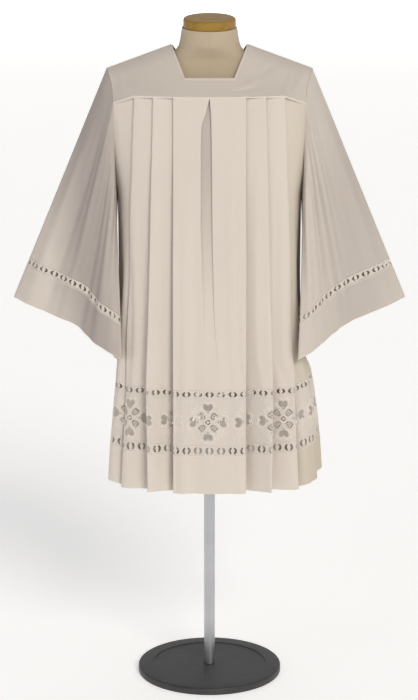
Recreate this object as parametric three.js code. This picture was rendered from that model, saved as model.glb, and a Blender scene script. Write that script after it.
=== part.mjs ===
// Pleated lawn surplice with lace bands, on a limbless dress form.
// Millimetres, +Z up, front towards -Y. The origin is on the floor, under the middle of the base.
import * as THREE from "three";

// ---------- Cloth ----------
const WALL = 1.2; // thickness of every cloth wall
const TRIM_WALL = 2.2; // thickness of the bound edges and seam bands
const SEAM_GAP = 0.3; // between two pieces sewn together
const SIDE_GAP = 1; // between the front and the back at the side seams
const LAYER = 3.2; // between the middles of two layers pressed on each other
const RING_POWER = 2.8; // roundness of the body's plan outline: 2 is an ellipse
const RIGHT_ANGLE = Math.PI / 2;

// ---------- Heights on the body ----------
const YOKE_SEAM = 1336; // middle of the band that covers the yoke seam
const SEAM_BAND = 6; // its height
const PANEL_TOP = YOKE_SEAM - SEAM_BAND / 2 - 2 * SEAM_GAP;
const YOKE_BOTTOM = YOKE_SEAM + SEAM_BAND / 2 + 2 * SEAM_GAP;
const UPPER_INSERTION = { top: 700, bottom: 683 };
const LACE_BAND = { top: 683, bottom: 577 };
const LOWER_INSERTION = { top: 577, bottom: 555 };
const HEM = { top: 555, bottom: 470 };

// ---------- Yoke ----------
const NECK_TOP = 1440; // shoulder line at the neck corner
const NECK_HALF_WIDTH = 87; // at the shoulder line
const SHOULDER_HALF_WIDTH = 224;
const SHOULDER_SLOPE = 0.365; // fall for each millimetre outwards
const SHOULDER_Y = 4; // the shoulder line lies just behind the middle
const SHOULDER_RADIUS = 24; // roundness of the ridge
const ARMHOLE_SCOOP = 4; // how far the yoke's armhole edge curves in
const YOKE_FACES = {
  front: { face: -1, neckDrop: 72, neckHalf: 56, rows: [0, 0.05, 0.2, 0.45, 0.715, 0.86, 1] },
  back: { face: 1, neckDrop: 26, neckHalf: 70, rows: [0, 0.05, 0.13, 0.258, 0.5, 0.75, 1] },
};
const STRAP_COLUMNS = 4; // from the neck edge to the armhole, the third one over the last pleat
const NECK_COLUMNS = [-0.5, 0, 0.5]; // between the two neck edges
const BINDING = 4.5; // width of the bound neck edge

// ---------- Skirt ----------
// A row for each height. left, right, front, back: half sizes of the ring that the pleats lie on.
// end: angle round the ring, from the middle, where a panel ends. lift: how far that end rises.
// crest1..3: pleat edges from the middle. tuck, deep: how far the hidden fold lies inwards of its
// crest, along the ring and behind it.
// slot, slotTuck, slotOpen, slotDeep: edge, hidden fold, opening out and depth of the middle pleat.
// ease1, ease2, easeEnd: depths of the plain side beyond the last pleat.
const SKIRT = table(
  "z left right front back end lift crest1 crest2 crest3 tuck deep slot slotTuck slotOpen slotDeep" +
    " ease1 ease2 easeEnd",
  [
    [1332.4, 235, 235, 112, 108, 57, -16, 78, 121, 162, 38, 6.4, 2, 30, 0, 1, 4, 2, 0],
    [1220, 216, 216, 116, 112, 69, 0, 78, 124, 167, 38, 8, 8, 30, 0, 1, 5, 2, 0],
    [1160, 208, 208, 120, 115, 80, 0, 78, 126, 169, 37, 11, 9, 28, 0, 1, 5, 3, 0],
    [1110, 203, 203, 124, 118, 90, 0, 78, 127, 172, 36, 14, 9, 26, 0, 1, 5, 4, 0],
    [950, 202, 202, 132, 124, 90, 4, 79, 131, 178, 36, 20, 9, 22, 0, 1, 5, 7, 0],
    [820, 204, 205, 140, 131, 90, 8, 79, 135, 184, 35, 26, 9, 17, 0, 1, 4, 10, 0],
    [765, 207, 208, 144, 134, 90, 10, 79, 137, 186, 34, 28, 19, 18, 5, 0.5, 3, 11, 1],
    [700, 212, 232, 148, 138, 90, 12, 79, 139, 188, 34, 31, 30, 20, 10, 0, 2, 13, 2],
    [550, 226, 253, 156, 146, 90, 16, 79, 137, 195, 33, 36, 30, 20, 10, 0, 1, 17, 3],
    [470, 230, 260, 161, 150, 90, 18, 79, 136, 199, 32, 38, 30, 20, 10, 0, 0, 20, 4],
  ],
);
const PANEL_ROWS = [PANEL_TOP, 1275, 1220, 1160, 1110, 1030, 950, 820, 765, 700 + SEAM_GAP / 2];

// ---------- Sleeves ----------
// Stations round a sleeve, from the shoulder through the front to the underarm and up the back.
// on, at: where the station starts on the armhole, as a share of the yoke's edge or a height of the
// panel's edge. x, y, z: where it ends at the cuff.
const SLEEVE = table("on at x y z", [
  ["yoke_front", 0, 438, 0, 882],
  ["yoke_front", 0.3, 402, -26, 869],
  ["yoke_front", 0.65, 358, -42, 852],
  ["yoke_front", 1, 306, -49, 832],
  ["panel_front", 1268, 276, -38, 803],
  ["panel_front", 1215, 247, -46, 772],
  ["panel_front", 1160, 231, -39, 757],
  ["panel_front", 1128, 217, -20, 757],
  ["panel_front", 1110, 216, 8, 770],
  ["panel_back", 1128, 221, 36, 780],
  ["panel_back", 1160, 238, 50, 788],
  ["panel_back", 1215, 262, 44, 806],
  ["panel_back", 1268, 292, 54, 826],
  ["yoke_back", 1, 330, 48, 843],
  ["yoke_back", 0.65, 372, 42, 857],
  ["yoke_back", 0.3, 408, 26, 870],
]);
const UNDERARM_STATION = 8;
const SLEEVE_SHIFT = 1.6; // the sleeve's head starts this far outside the body's armhole edge
const SLEEVE_ROWS = [1, 0.8, 0.6, 0.4, 0.2, 0]; // shares of the length from the insertion up
const SLEEVE_HEM = 79;
const SLEEVE_INSERTION = 17;
const SLEEVE_GAP = 0.6; // measured down the sleeve, which meets the bands at a slant

// ---------- Cut holes of the lace ----------
// Each stretch between two folds has the four diamonds of a motif, or two where it is narrow.
const DIAMOND = { across: 12.4, up: 13.6, halfWidth: 10, halfHeight: 11 };
const FLOWER_PITCH = 26.5; // one spoked disc between two crescents
const CRESCENT = { from: 4.6, reach: 4.6, halfHeight: 6.2 };
const HOLE_MARGIN = 2; // cloth left between a hole and a fold

// ---------- Dress form ----------
// Rings of the body, from the bottom: half width, half depths, roundness and forward tilt.
const FORM = table("z half front back power tilt", [
  [740, 128, 70, 68, 2.4, 0],
  [746, 150, 86, 84, 2.4, 0],
  [764, 165, 97, 95, 2.5, 0],
  [880, 166, 96, 94, 2.5, 0],
  [1000, 156, 87, 86, 2.5, 0],
  [1110, 176, 95, 92, 2.5, 0],
  [1220, 188, 97, 94, 2.6, 0],
  [1331, 208, 95, 92, 2.6, 0],
  [1362, 206, 74, 73, 2.6, 0],
  [1390, 192, 48, 48, 2.4, 0],
  [1409, 136, 38, 38, 2.4, 0],
  [1424, 82, 45, 44, 2.3, 0],
  [1440, 67, 53, 55, 2.2, 0.05],
  [1478, 60, 56, 56, 2, 0.158],
]);
const FORM_SIDES = 32;
const CAP = { radius: 57.5, height: 21, tiltDegrees: 9, sides: 32 };
const POLE = { radius: 12.5, sides: 20 };
const BASE = { radius: 165, height: 16, chamfer: 4, sides: 36 };

// ---------- Finishes ----------
const LAWN = { color: 0xe9e2d6, roughness: 0.85, metalness: 0 };
const LACE = { color: 0xe4ddd0, roughness: 0.9, metalness: 0 };
const LINEN = { color: 0xcdb998, roughness: 0.9, metalness: 0 };
const WOOD = { color: 0xa8703c, roughness: 0.4, metalness: 0 };
const STEEL = { color: 0xb8bbbf, roughness: 0.3, metalness: 1 };
const PAINT = { color: 0x2c2c2e, roughness: 0.5, metalness: 0.2 };

const HANDS = [["left", -1], ["right", 1]]; // as the viewer sees them from the front

const model = new THREE.Group();

// Rows of numbers under a line of column names, as objects.
function table(header, rows) {
  const names = header.split(/\s+/);
  return rows.map((row) => Object.fromEntries(names.map((name, i) => [name, row[i]])));
}

// The row of a table at a height between two of its own rows.
function rowAt(rows, z) {
  const step = Math.sign(rows[1].z - rows[0].z);
  let i = 0;
  while (i < rows.length - 2 && (z - rows[i + 1].z) * step > 0) i += 1;
  const share = (z - rows[i].z) / (rows[i + 1].z - rows[i].z);
  const row = {};
  for (const name of Object.keys(rows[0])) row[name] = mix(rows[i][name], rows[i + 1][name], share);
  return row;
}

function mix(from, to, share) {
  return from + (to - from) * share;
}

function addMesh(name, geometry, finish) {
  const mesh = new THREE.Mesh(geometry, new THREE.MeshStandardMaterial(finish));
  mesh.name = name;
  model.add(mesh);
  return mesh;
}

// ---------- Walls ----------
// A closed wall from one sheet: its faces on the outer side, turned round on the inner side, and a
// strip along every free edge. sheet.points are the middle, sheet.normals point out of the cloth.
function wallGeometry(sheet, thickness) {
  const count = sheet.points.length;
  const positions = [];
  for (const side of [0.5, -0.5]) {
    sheet.points.forEach((point, i) => {
      const moved = point.clone().addScaledVector(sheet.normals[i], side * thickness);
      positions.push(moved.x, moved.y, moved.z);
    });
  }
  const indices = [];
  const edges = new Set();
  for (const [a, b, c] of sheet.faces) {
    indices.push(a, b, c, a + count, c + count, b + count);
    edges.add(`${a},${b}`).add(`${b},${c}`).add(`${c},${a}`);
  }
  for (const edge of edges) {
    const [from, to] = edge.split(",").map(Number);
    if (edges.has(`${to},${from}`)) continue;
    indices.push(to, from, from + count, to, from + count, to + count);
  }
  const geometry = new THREE.BufferGeometry();
  geometry.setAttribute("position", new THREE.Float32BufferAttribute(positions, 3));
  geometry.setIndex(indices);
  return geometry;
}

// A sheet over rows of points, top row first, each running left to right as seen from outside.
function gridSheet(rows, { closed = false, normals, missing = () => false } = {}) {
  const width = rows[0].length;
  const outward = normals ?? gridNormals(rows, closed);
  const faces = [];
  for (let v = 0; v + 1 < rows.length; v += 1) {
    for (let u = 0; u < (closed ? width : width - 1); u += 1) {
      if (missing(u, v)) continue;
      const next = (u + 1) % width;
      const [a, b, c, d] = [v * width + u, v * width + next, (v + 1) * width + u, (v + 1) * width + next];
      faces.push([a, c, d], [a, d, b]);
    }
  }
  return { points: rows.flat(), normals: outward.flat(), faces };
}

// Directions out of the cloth, from each point's neighbours in its row and column.
function gridNormals(rows, closed) {
  const width = rows[0].length;
  return rows.map((row, v) =>
    row.map((_, u) => {
      const before = closed ? (u + width - 1) % width : Math.max(u - 1, 0);
      const after = closed ? (u + 1) % width : Math.min(u + 1, width - 1);
      const along = new THREE.Vector3().subVectors(row[after], row[before]);
      const upper = rows[Math.max(v - 1, 0)][u];
      const lower = rows[Math.min(v + 1, rows.length - 1)][u];
      const down = new THREE.Vector3().subVectors(lower, upper);
      return down.cross(along).normalize();
    }),
  );
}

// The same sheet seen from its other side, as on the part's mirrored half.
function turned(sheet) {
  return {
    points: sheet.points,
    normals: sheet.normals.map((normal) => normal.clone().negate()),
    faces: sheet.faces.map(([a, b, c]) => [a, c, b]),
  };
}

// Level directions out of a folded row, longer at a corner so that the wall keeps its thickness.
function foldNormals(row) {
  const rights = [];
  for (let i = 0; i + 1 < row.length; i += 1) {
    const [dx, dy] = [row[i + 1].x - row[i].x, row[i + 1].y - row[i].y];
    const length = Math.hypot(dx, dy);
    rights.push([dy / length, -dx / length]);
  }
  return row.map((_, i) => {
    const [ax, ay] = rights[Math.max(i - 1, 0)];
    const [bx, by] = rights[Math.min(i, rights.length - 1)];
    const scale = 1 / (1 + ax * bx + ay * by);
    return new THREE.Vector3((ax + bx) * scale, (ay + by) * scale, 0);
  });
}

// ---------- Body ----------
// A point of a ring: face -1 is the front, side -1 the left, angle runs from the middle to the side.
function ringPoint(row, face, side, angle, depth) {
  const half = side < 0 ? row.left : row.right;
  const reach = face < 0 ? row.front : row.back;
  const across = Math.sin(angle) ** (2 / RING_POWER);
  const out = Math.max(Math.cos(angle), 0) ** (2 / RING_POWER);
  const normal = new THREE.Vector3(
    (side * across ** (RING_POWER - 1)) / half,
    (face * out ** (RING_POWER - 1)) / reach,
    0,
  ).normalize();
  const point = new THREE.Vector3(side * half * across, face * reach * out, row.z);
  const along = new THREE.Vector3(-normal.y, normal.x, 0).multiplyScalar(-face * side);
  return { point: point.addScaledVector(normal, -depth), normal, along };
}

function angleAt(row, side, x) {
  const half = side < 0 ? row.left : row.right;
  return Math.asin(Math.min(x / half, 1) ** (RING_POWER / 2));
}

// How far a point lies across the plain side, from the last pleat to the end of the panel.
function endShare(row, side, angle) {
  const half = side < 0 ? row.left : row.right;
  const across = (turn) => half * Math.sin(turn) ** (2 / RING_POWER);
  const end = across(THREE.MathUtils.degToRad(row.end));
  return THREE.MathUtils.clamp((across(angle) - row.crest3) / (end - row.crest3), 0, 1);
}

// One half of a panel's row, from the middle outwards, fold by fold.
function halfRow(row, face, side, withSlot) {
  const end = THREE.MathUtils.degToRad(row.end);
  const last = angleAt(row, side, row.crest3);
  const points = [];
  // A fold's own narrow edge stands square to the middle line between the two stretches it joins.
  const pitch = row.crest2 - row.crest1;
  const lean = (Math.atan2(row.deep, row.tuck) + Math.atan2(row.deep, row.tuck + pitch)) / 2;
  const add = (angle, depth, turnedEdge = false) => {
    const { point, normal, along } = ringPoint(row, face, side, angle, depth);
    if (turnedEdge) {
      point.addScaledVector(along, LAYER * Math.sin(lean)).addScaledVector(normal, -LAYER * Math.cos(lean));
    }
    point.z += row.lift * endShare(row, side, angle);
    points.push(point);
  };
  const addAt = (x, depth, turnedEdge) => add(angleAt(row, side, x), depth, turnedEdge);
  if (withSlot) {
    addAt(row.slotTuck - row.slotOpen, 2.5 * LAYER * row.slotDeep);
    addAt(row.slotTuck, 1.5 * LAYER * row.slotDeep);
    addAt(row.slot, LAYER * row.slotDeep);
  }
  addAt(row.slot + row.slotOpen, 0);
  for (const crest of [row.crest1, row.crest2, row.crest3]) {
    addAt(crest, 0);
    addAt(crest, 0, true);
    addAt(crest - row.tuck, row.deep);
    addAt(crest - row.tuck, row.deep, true);
  }
  add(mix(last, end, 0.38), row.ease1);
  add(mix(last, end, 0.72), row.ease2);
  add(end, row.easeEnd);
  const edge = points.at(-1);
  if (Math.abs(edge.y) < SIDE_GAP / 2) edge.y = (face * SIDE_GAP) / 2;
  return points;
}

// A whole row of a band, left to right as seen from outside.
function bandRow(z, face) {
  const row = rowAt(SKIRT, z);
  return [...halfRow(row, face, face, false).reverse(), ...halfRow(row, face, -face, false)];
}

// A row of one width of a panel. The seam of its two widths lies hidden behind the middle pleat.
function widthRow(z, face, side) {
  const row = rowAt(SKIRT, z);
  const seamAngle = angleAt(row, side, SEAM_GAP / 2);
  const seam = ringPoint(row, face, side, seamAngle, 2.5 * LAYER * row.slotDeep).point;
  const points = [seam, ...halfRow(row, face, side, true)];
  return side === face ? points.reverse() : points;
}

function foldedSheet(rows) {
  return gridSheet(rows, { normals: rows.map(foldNormals) });
}

// ---------- Lace ----------
function diamondAt(s, middle) {
  const { halfWidth, halfHeight } = DIAMOND;
  return [
    [s - halfWidth, middle],
    [s, middle - halfHeight],
    [s + halfWidth, middle],
    [s, middle + halfHeight],
  ];
}

function crescentAt(s, middle) {
  const { from, reach, halfHeight } = CRESCENT;
  return [
    [s + from, middle - halfHeight],
    [s + from + reach * 0.8, middle - halfHeight * 0.6],
    [s + from + reach, middle],
    [s + from + reach * 0.8, middle + halfHeight * 0.6],
    [s + from, middle + halfHeight],
  ];
}

// Diamonds round the middle of a motif of the wide band, in one or two columns.
function motifHoles(from, to, height) {
  const middle = (from + to) / 2;
  const twoFit = to - from > 2 * (DIAMOND.across + DIAMOND.halfWidth + HOLE_MARGIN);
  const columns = twoFit ? [-DIAMOND.across, DIAMOND.across] : [0];
  return columns.flatMap((across) =>
    [-DIAMOND.up, DIAMOND.up].map((up) => diamondAt(middle + across, height / 2 + up)),
  );
}

// One crescent beside each spoked disc of an insertion.
function insertionHoles(from, to, height) {
  const holes = [];
  for (let k = Math.floor(from / FLOWER_PITCH); k * FLOWER_PITCH < to; k += 1) {
    holes.push(crescentAt(k * FLOWER_PITCH, height / 2));
  }
  return holes;
}

// A sheet between an upper and a lower row, cut by the holes that lie whole between two folds. The
// holes are given along the rows, from the middle of an open row, and up from the lower one.
function laceSheet(rows, holesBetween, { closed = false, normals, cutsAt = () => true }) {
  const [upper, lower] = rows;
  const width = upper.length;
  const points = [...upper, ...lower];
  const outward = [...normals[0], ...normals[1]];
  const faces = [];
  const lengths = upper.map((point, u) => point.distanceTo(upper[(u + 1) % width]));
  const half = lengths.slice(0, -1).reduce((sum, length) => sum + length, 0) / 2;
  let from = closed ? 0 : -half;
  for (let u = 0; u < (closed ? width : width - 1); u += 1) {
    const next = (u + 1) % width;
    const to = from + lengths[u];
    const height = upper[u].distanceTo(lower[u]);
    const inside = ([s]) => s > from + HOLE_MARGIN && s < to - HOLE_MARGIN;
    const holes = cutsAt(u) ? holesBetween(from, to, height).filter((hole) => hole.every(inside)) : [];
    const corners = [width + u, width + next, next, u];
    const contour = [
      [from, 0],
      [to, 0],
      [to, height],
      [from, height],
    ];
    const ids = [...corners];
    for (const [s, up] of holes.flat()) {
      const [across, down] = [(s - from) / (to - from), 1 - up / height];
      ids.push(points.length);
      points.push(blend(upper[u], upper[next], lower[u], lower[next], across, down));
      outward.push(blend(...[u, next, width + u, width + next].map((i) => outward[i]), across, down));
    }
    faces.push(...trianglesOf(contour, holes).map((triangle) => triangle.map((i) => ids[i])));
    from = to;
  }
  return { points, normals: outward, faces };
}

function blend(a, b, c, d, across, down) {
  return a.clone().lerp(b, across).lerp(c.clone().lerp(d, across), down);
}

// Triangles of a flat outline with holes, all turning the same way as the outline.
function trianglesOf(contour, holes) {
  const flat = [contour, ...holes].flat();
  const vectors = (outline) => outline.map(([x, y]) => new THREE.Vector2(x, y));
  return THREE.ShapeUtils.triangulateShape(vectors(contour), holes.map(vectors)).map(([a, b, c]) => {
    const [p, q, r] = [flat[a], flat[b], flat[c]];
    const turn = (q[0] - p[0]) * (r[1] - p[1]) - (q[1] - p[1]) * (r[0] - p[0]);
    return turn > 0 ? [a, b, c] : [a, c, b];
  });
}

function bandSheet(band, face, holesBetween) {
  const heights = [band.top - SEAM_GAP / 2, band.bottom + SEAM_GAP / 2];
  const rows = heights.map((z) => bandRow(z, face));
  return laceSheet(rows, holesBetween, { normals: rows.map(foldNormals) });
}

// ---------- Yoke ----------
function shoulderHeight(x) {
  return NECK_TOP - Math.max(x - NECK_HALF_WIDTH, 0) * SHOULDER_SLOPE;
}

// The height of the yoke seam falls towards the armhole.
function seamHeight(x, level) {
  const row = rowAt(SKIRT, PANEL_TOP);
  return level + row.lift * endShare(row, 1, angleAt(row, 1, x));
}

// How far the chest stands out at the yoke seam.
function chestReach(face, x) {
  const row = rowAt(SKIRT, PANEL_TOP);
  return Math.abs(ringPoint(row, face, 1, angleAt(row, 1, x), 0).point.y);
}

// A point of the yoke's surface: over the rounded shoulder ridge, then down the chest or back.
function yokePoint(face, side, x, topX, bottomX, share) {
  const top = shoulderHeight(topX);
  const fall = (top - seamHeight(bottomX, YOKE_BOTTOM)) * share;
  const ridge = Math.sqrt(1 - (1 - Math.min(fall / SHOULDER_RADIUS, 1)) ** 2) * SHOULDER_RADIUS;
  const slope = (chestReach(face, bottomX) - SHOULDER_RADIUS - face * SHOULDER_Y) * share;
  return new THREE.Vector3(side * x, SHOULDER_Y + face * (ridge + slope), top - fall);
}

function neckEdge(shape, share) {
  const neckShare = shape.neckDrop / (NECK_TOP - YOKE_BOTTOM);
  return mix(NECK_HALF_WIDTH, shape.neckHalf, Math.min(share / neckShare, 1));
}

function armholeEdge(share) {
  const row = rowAt(SKIRT, PANEL_TOP);
  const bottom = ringPoint(row, -1, 1, THREE.MathUtils.degToRad(row.end), 0).point.x;
  return mix(SHOULDER_HALF_WIDTH, bottom, share) - ARMHOLE_SCOOP * Math.sin(Math.PI * share);
}

function yokeColumn(shape, side, column, share) {
  const x = mix(neckEdge(shape, share), armholeEdge(share), column);
  const topX = mix(NECK_HALF_WIDTH, SHOULDER_HALF_WIDTH, column);
  const bottomX = mix(shape.neckHalf, armholeEdge(1), column);
  return yokePoint(shape.face, side, x, topX, bottomX, share);
}

function yokeRow(shape, share) {
  const lastPleat = SKIRT[0].crest3 - shape.neckHalf;
  const knee = lastPleat / (armholeEdge(1) - shape.neckHalf);
  const columns = [0, knee / 2, knee, 1];
  const strap = (side) => columns.map((column) => yokeColumn(shape, side, column, share));
  const middle = NECK_COLUMNS.map((column) => {
    const x = column * 2 * neckEdge(shape, share) * -shape.face * 0.5;
    return yokePoint(shape.face, 1, x, 0, Math.abs(x), share);
  });
  return [...strap(shape.face).reverse(), ...middle, ...strap(-shape.face)];
}

function yokeSheet(shape) {
  const rows = shape.rows.map((share) => yokeRow(shape, share));
  rows[0].forEach((point) => (point.y += (shape.face * SEAM_GAP) / 2));
  const normals = gridNormals(rows, false);
  normals[0].forEach((normal) => normal.setY(0).normalize());
  normals.at(-1).forEach((normal) => normal.setZ(0).normalize());
  const neckRow = shape.rows.findIndex((share) => share * (NECK_TOP - YOKE_BOTTOM) > shape.neckDrop - 1);
  const firstInside = STRAP_COLUMNS - 1;
  const lastInside = firstInside + NECK_COLUMNS.length;
  const missing = (u, v) => v < neckRow && u >= firstInside && u <= lastInside;
  return gridSheet(rows, { normals, missing });
}

// The narrow band that covers the seam between the yoke and the pleats.
function seamBandSheet(face) {
  const row = rowAt(SKIRT, PANEL_TOP);
  const reaches = [0, row.crest1 / 2, row.crest1, row.crest2, row.crest3, armholeEdge(1)];
  const half = (side, level) =>
    reaches.map((x) => {
      const { point } = ringPoint(row, face, side, angleAt(row, side, x), 0);
      return point.setZ(seamHeight(x, level));
    });
  const levels = [YOKE_SEAM + SEAM_BAND / 2, YOKE_SEAM - SEAM_BAND / 2];
  const rows = levels.map((level) => [...half(face, level).reverse(), ...half(-face, level).slice(1)]);
  return gridSheet(rows, { normals: rows.map(foldNormals) });
}

// The bound edge runs round the whole neck, on the yoke's surface carried on into the opening.
function bindingLoop(inset) {
  const half = (shape, side) => {
    const bottom = shape.neckDrop - inset;
    const points = [];
    for (const share of [0.3, 0.65, 1]) {
      const fall = bottom * share;
      const edge = mix(NECK_HALF_WIDTH, shape.neckHalf, fall / shape.neckDrop) - inset;
      points.push(neckPoint(shape, side * edge, fall));
    }
    points.push(neckPoint(shape, side * shape.neckHalf * 0.45, bottom));
    return points;
  };
  const { front, back } = YOKE_FACES;
  const corner = (side) => new THREE.Vector3(side * (NECK_HALF_WIDTH - inset), SHOULDER_Y, NECK_TOP);
  const middle = (shape) => neckPoint(shape, 0, shape.neckDrop - inset);
  return [
    corner(-1), ...half(front, -1), middle(front), ...half(front, 1).reverse(),
    corner(1), ...half(back, 1), middle(back), ...half(back, -1).reverse(),
  ];
}

function neckPoint(shape, x, fall) {
  const share = fall / (NECK_TOP - YOKE_BOTTOM);
  return yokePoint(shape.face, Math.sign(x) || 1, Math.abs(x), 0, Math.abs(x), share);
}

// ---------- Sleeves ----------
function armholePoint(station) {
  const face = station.on.endsWith("front") ? -1 : 1;
  if (station.on.startsWith("yoke")) {
    const shape = face < 0 ? YOKE_FACES.front : YOKE_FACES.back;
    return yokeColumn(shape, 1, 1, station.at);
  }
  return halfRow(rowAt(SKIRT, station.at), face, 1, false).at(-1);
}

// Lines from the armhole to the cuff, one for each station.
function sleeveLines(side) {
  return SLEEVE.map((station) => {
    const head = armholePoint(station);
    head.x += SLEEVE_SHIFT;
    const cuff = new THREE.Vector3(station.x, station.y, station.z);
    for (const point of [head, cuff]) point.x *= side;
    return { head, cuff, length: head.distanceTo(cuff) };
  });
}

// A ring at a distance up from the cuff, measured along each line.
function sleeveRing(lines, distanceOf) {
  return lines.map((line) => line.cuff.clone().lerp(line.head, distanceOf(line) / line.length));
}

function sleeveSheet(rings, side) {
  const sheet = gridSheet(rings, { closed: true });
  return side < 0 ? sheet : turned(sheet);
}

function sleeveInsertionSheet(lines, side, isFront) {
  const levels = [SLEEVE_HEM + SLEEVE_INSERTION - SLEEVE_GAP / 2, SLEEVE_HEM + SLEEVE_GAP / 2];
  const rings = levels.map((level) => sleeveRing(lines, () => level));
  const normals = gridNormals(rings, true);
  const count = UNDERARM_STATION + 1;
  const pick = (ring) => (isFront ? ring.slice(0, count) : [...ring.slice(UNDERARM_STATION), ring[0]]);
  const rows = rings.map((ring) => pick(ring).map((point) => point.clone()));
  for (const row of rows) pullApart(row);
  const sheet = laceSheet(rows, insertionHoles, { normals: normals.map(pick) });
  return side < 0 ? sheet : turned(sheet);
}

// Draws the two ends of an open row in, so that two half bands meet with a seam's gap.
function pullApart(row) {
  const shorten = (end, neighbour) => {
    const length = end.distanceTo(neighbour);
    end.lerp(neighbour, SEAM_GAP / length);
  };
  shorten(row[0], row[1]);
  shorten(row.at(-1), row.at(-2));
}

// ---------- Dress form ----------
function formGeometry() {
  const rings = FORM.map((row) =>
    Array.from({ length: FORM_SIDES }, (_, i) => {
      const angle = (i / FORM_SIDES) * 4 * RIGHT_ANGLE;
      const [cos, sin] = [Math.cos(angle), Math.sin(angle)];
      const reach = sin < 0 ? row.front : row.back;
      const x = Math.sign(cos) * row.half * Math.abs(cos) ** (2 / row.power);
      const y = Math.sign(sin) * reach * Math.abs(sin) ** (2 / row.power);
      return new THREE.Vector3(x, y, row.z + y * row.tilt);
    }),
  );
  const top = FORM.at(-1);
  const points = [...rings.flat(), new THREE.Vector3(0, 0, FORM[0].z), new THREE.Vector3(0, 0, top.z)];
  const indices = [];
  const [bottomMiddle, topMiddle] = [points.length - 2, points.length - 1];
  for (let i = 0; i < FORM_SIDES; i += 1) {
    const next = (i + 1) % FORM_SIDES;
    for (let r = 0; r + 1 < rings.length; r += 1) {
      const [a, b] = [r * FORM_SIDES + i, r * FORM_SIDES + next];
      const [c, d] = [a + FORM_SIDES, b + FORM_SIDES];
      indices.push(a, b, d, a, d, c);
    }
    const lastRing = (rings.length - 1) * FORM_SIDES;
    indices.push(bottomMiddle, next, i, topMiddle, lastRing + i, lastRing + next);
  }
  const positions = points.flatMap((point) => point.toArray());
  const geometry = new THREE.BufferGeometry();
  geometry.setAttribute("position", new THREE.Float32BufferAttribute(positions, 3));
  geometry.setIndex(indices);
  return geometry;
}

// A solid turned about its own upright axis from radius and height pairs.
function turnedGeometry(profile, sides) {
  const points = profile.map(([radius, height]) => new THREE.Vector2(radius, height));
  return new THREE.LatheGeometry(points, sides).rotateX(RIGHT_ANGLE);
}

function capGeometry() {
  const { radius, height, sides } = CAP;
  const rim = [
    [0, 0],
    [radius - 4, 0],
    [radius - 0.8, 5],
    [radius, 10],
    [radius - 0.6, height - 5],
    [radius - 3.5, height - 1],
    [radius - 6, height],
    [0, height],
  ];
  return turnedGeometry(rim, sides);
}

// ---------- Assembly ----------
for (const [name, shape] of Object.entries(YOKE_FACES)) {
  const { face } = shape;
  addMesh(`yoke_${name}`, wallGeometry(yokeSheet(shape), WALL), LAWN);
  addMesh(`yoke_seam_${name}`, wallGeometry(seamBandSheet(face), TRIM_WALL), LACE);
  for (const [hand, side] of HANDS) {
    const rows = PANEL_ROWS.map((z) => widthRow(z, face, side));
    addMesh(`${name}_panel_${hand}`, wallGeometry(foldedSheet(rows), WALL), LAWN);
  }
  const upper = bandSheet(UPPER_INSERTION, face, insertionHoles);
  addMesh(`insertion_upper_${name}`, wallGeometry(upper, WALL), LACE);
  addMesh(`lace_band_${name}`, wallGeometry(bandSheet(LACE_BAND, face, motifHoles), WALL), LACE);
  const lower = bandSheet(LOWER_INSERTION, face, insertionHoles);
  addMesh(`insertion_lower_${name}`, wallGeometry(lower, WALL), LACE);
  const hemHeights = [HEM.top - SEAM_GAP / 2, (HEM.top + HEM.bottom) / 2, HEM.bottom];
  const hem = foldedSheet(hemHeights.map((z) => bandRow(z, face)));
  addMesh(`hem_band_${name}`, wallGeometry(hem, WALL), LAWN);
}

const bindingRows = [bindingLoop(2 * SEAM_GAP), bindingLoop(2 * SEAM_GAP + BINDING)];
addMesh("neck_binding", wallGeometry(turned(gridSheet(bindingRows, { closed: true })), TRIM_WALL), LACE);

for (const [name, side] of HANDS) {
  const lines = sleeveLines(side);
  const above = SLEEVE_HEM + SLEEVE_INSERTION + SLEEVE_GAP / 2;
  const rings = SLEEVE_ROWS.map((share) => sleeveRing(lines, (line) => mix(above, line.length, share)));
  addMesh(`sleeve_${name}`, wallGeometry(sleeveSheet(rings, side), WALL), LAWN);
  for (const half of ["front", "back"]) {
    const sheet = sleeveInsertionSheet(lines, side, half === "front");
    addMesh(`sleeve_insertion_${name}_${half}`, wallGeometry(sheet, WALL), LACE);
  }
  const hemRings = [SLEEVE_HEM - SLEEVE_GAP / 2, 0].map((level) => sleeveRing(lines, () => level));
  addMesh(`sleeve_hem_${name}`, wallGeometry(sleeveSheet(hemRings, side), WALL), LAWN);
}

addMesh("form_body", formGeometry(), LINEN);

const cap = addMesh("form_neck_cap", capGeometry(), WOOD);
cap.position.z = FORM.at(-1).z + SEAM_GAP;
cap.rotation.x = THREE.MathUtils.degToRad(CAP.tiltDegrees);

const poleHeight = FORM[0].z - BASE.height - 2 * SEAM_GAP;
const poleProfile = [
  [0, 0],
  [POLE.radius, 0],
  [POLE.radius, poleHeight],
  [0, poleHeight],
];
const pole = addMesh("stand_pole", turnedGeometry(poleProfile, POLE.sides), STEEL);
pole.position.z = BASE.height + SEAM_GAP;

const baseProfile = [
  [0, 0],
  [BASE.radius, 0],
  [BASE.radius, BASE.height - BASE.chamfer],
  [BASE.radius - BASE.chamfer, BASE.height],
  [0, BASE.height],
];
addMesh("stand_base", turnedGeometry(baseProfile, BASE.sides), PAINT);

export default model;
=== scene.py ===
"""A pleated lawn surplice with lace bands, on a limbless dress form with a stand."""

import math

import bmesh
import bpy
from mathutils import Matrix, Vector
from mathutils.geometry import delaunay_2d_cdt


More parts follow.
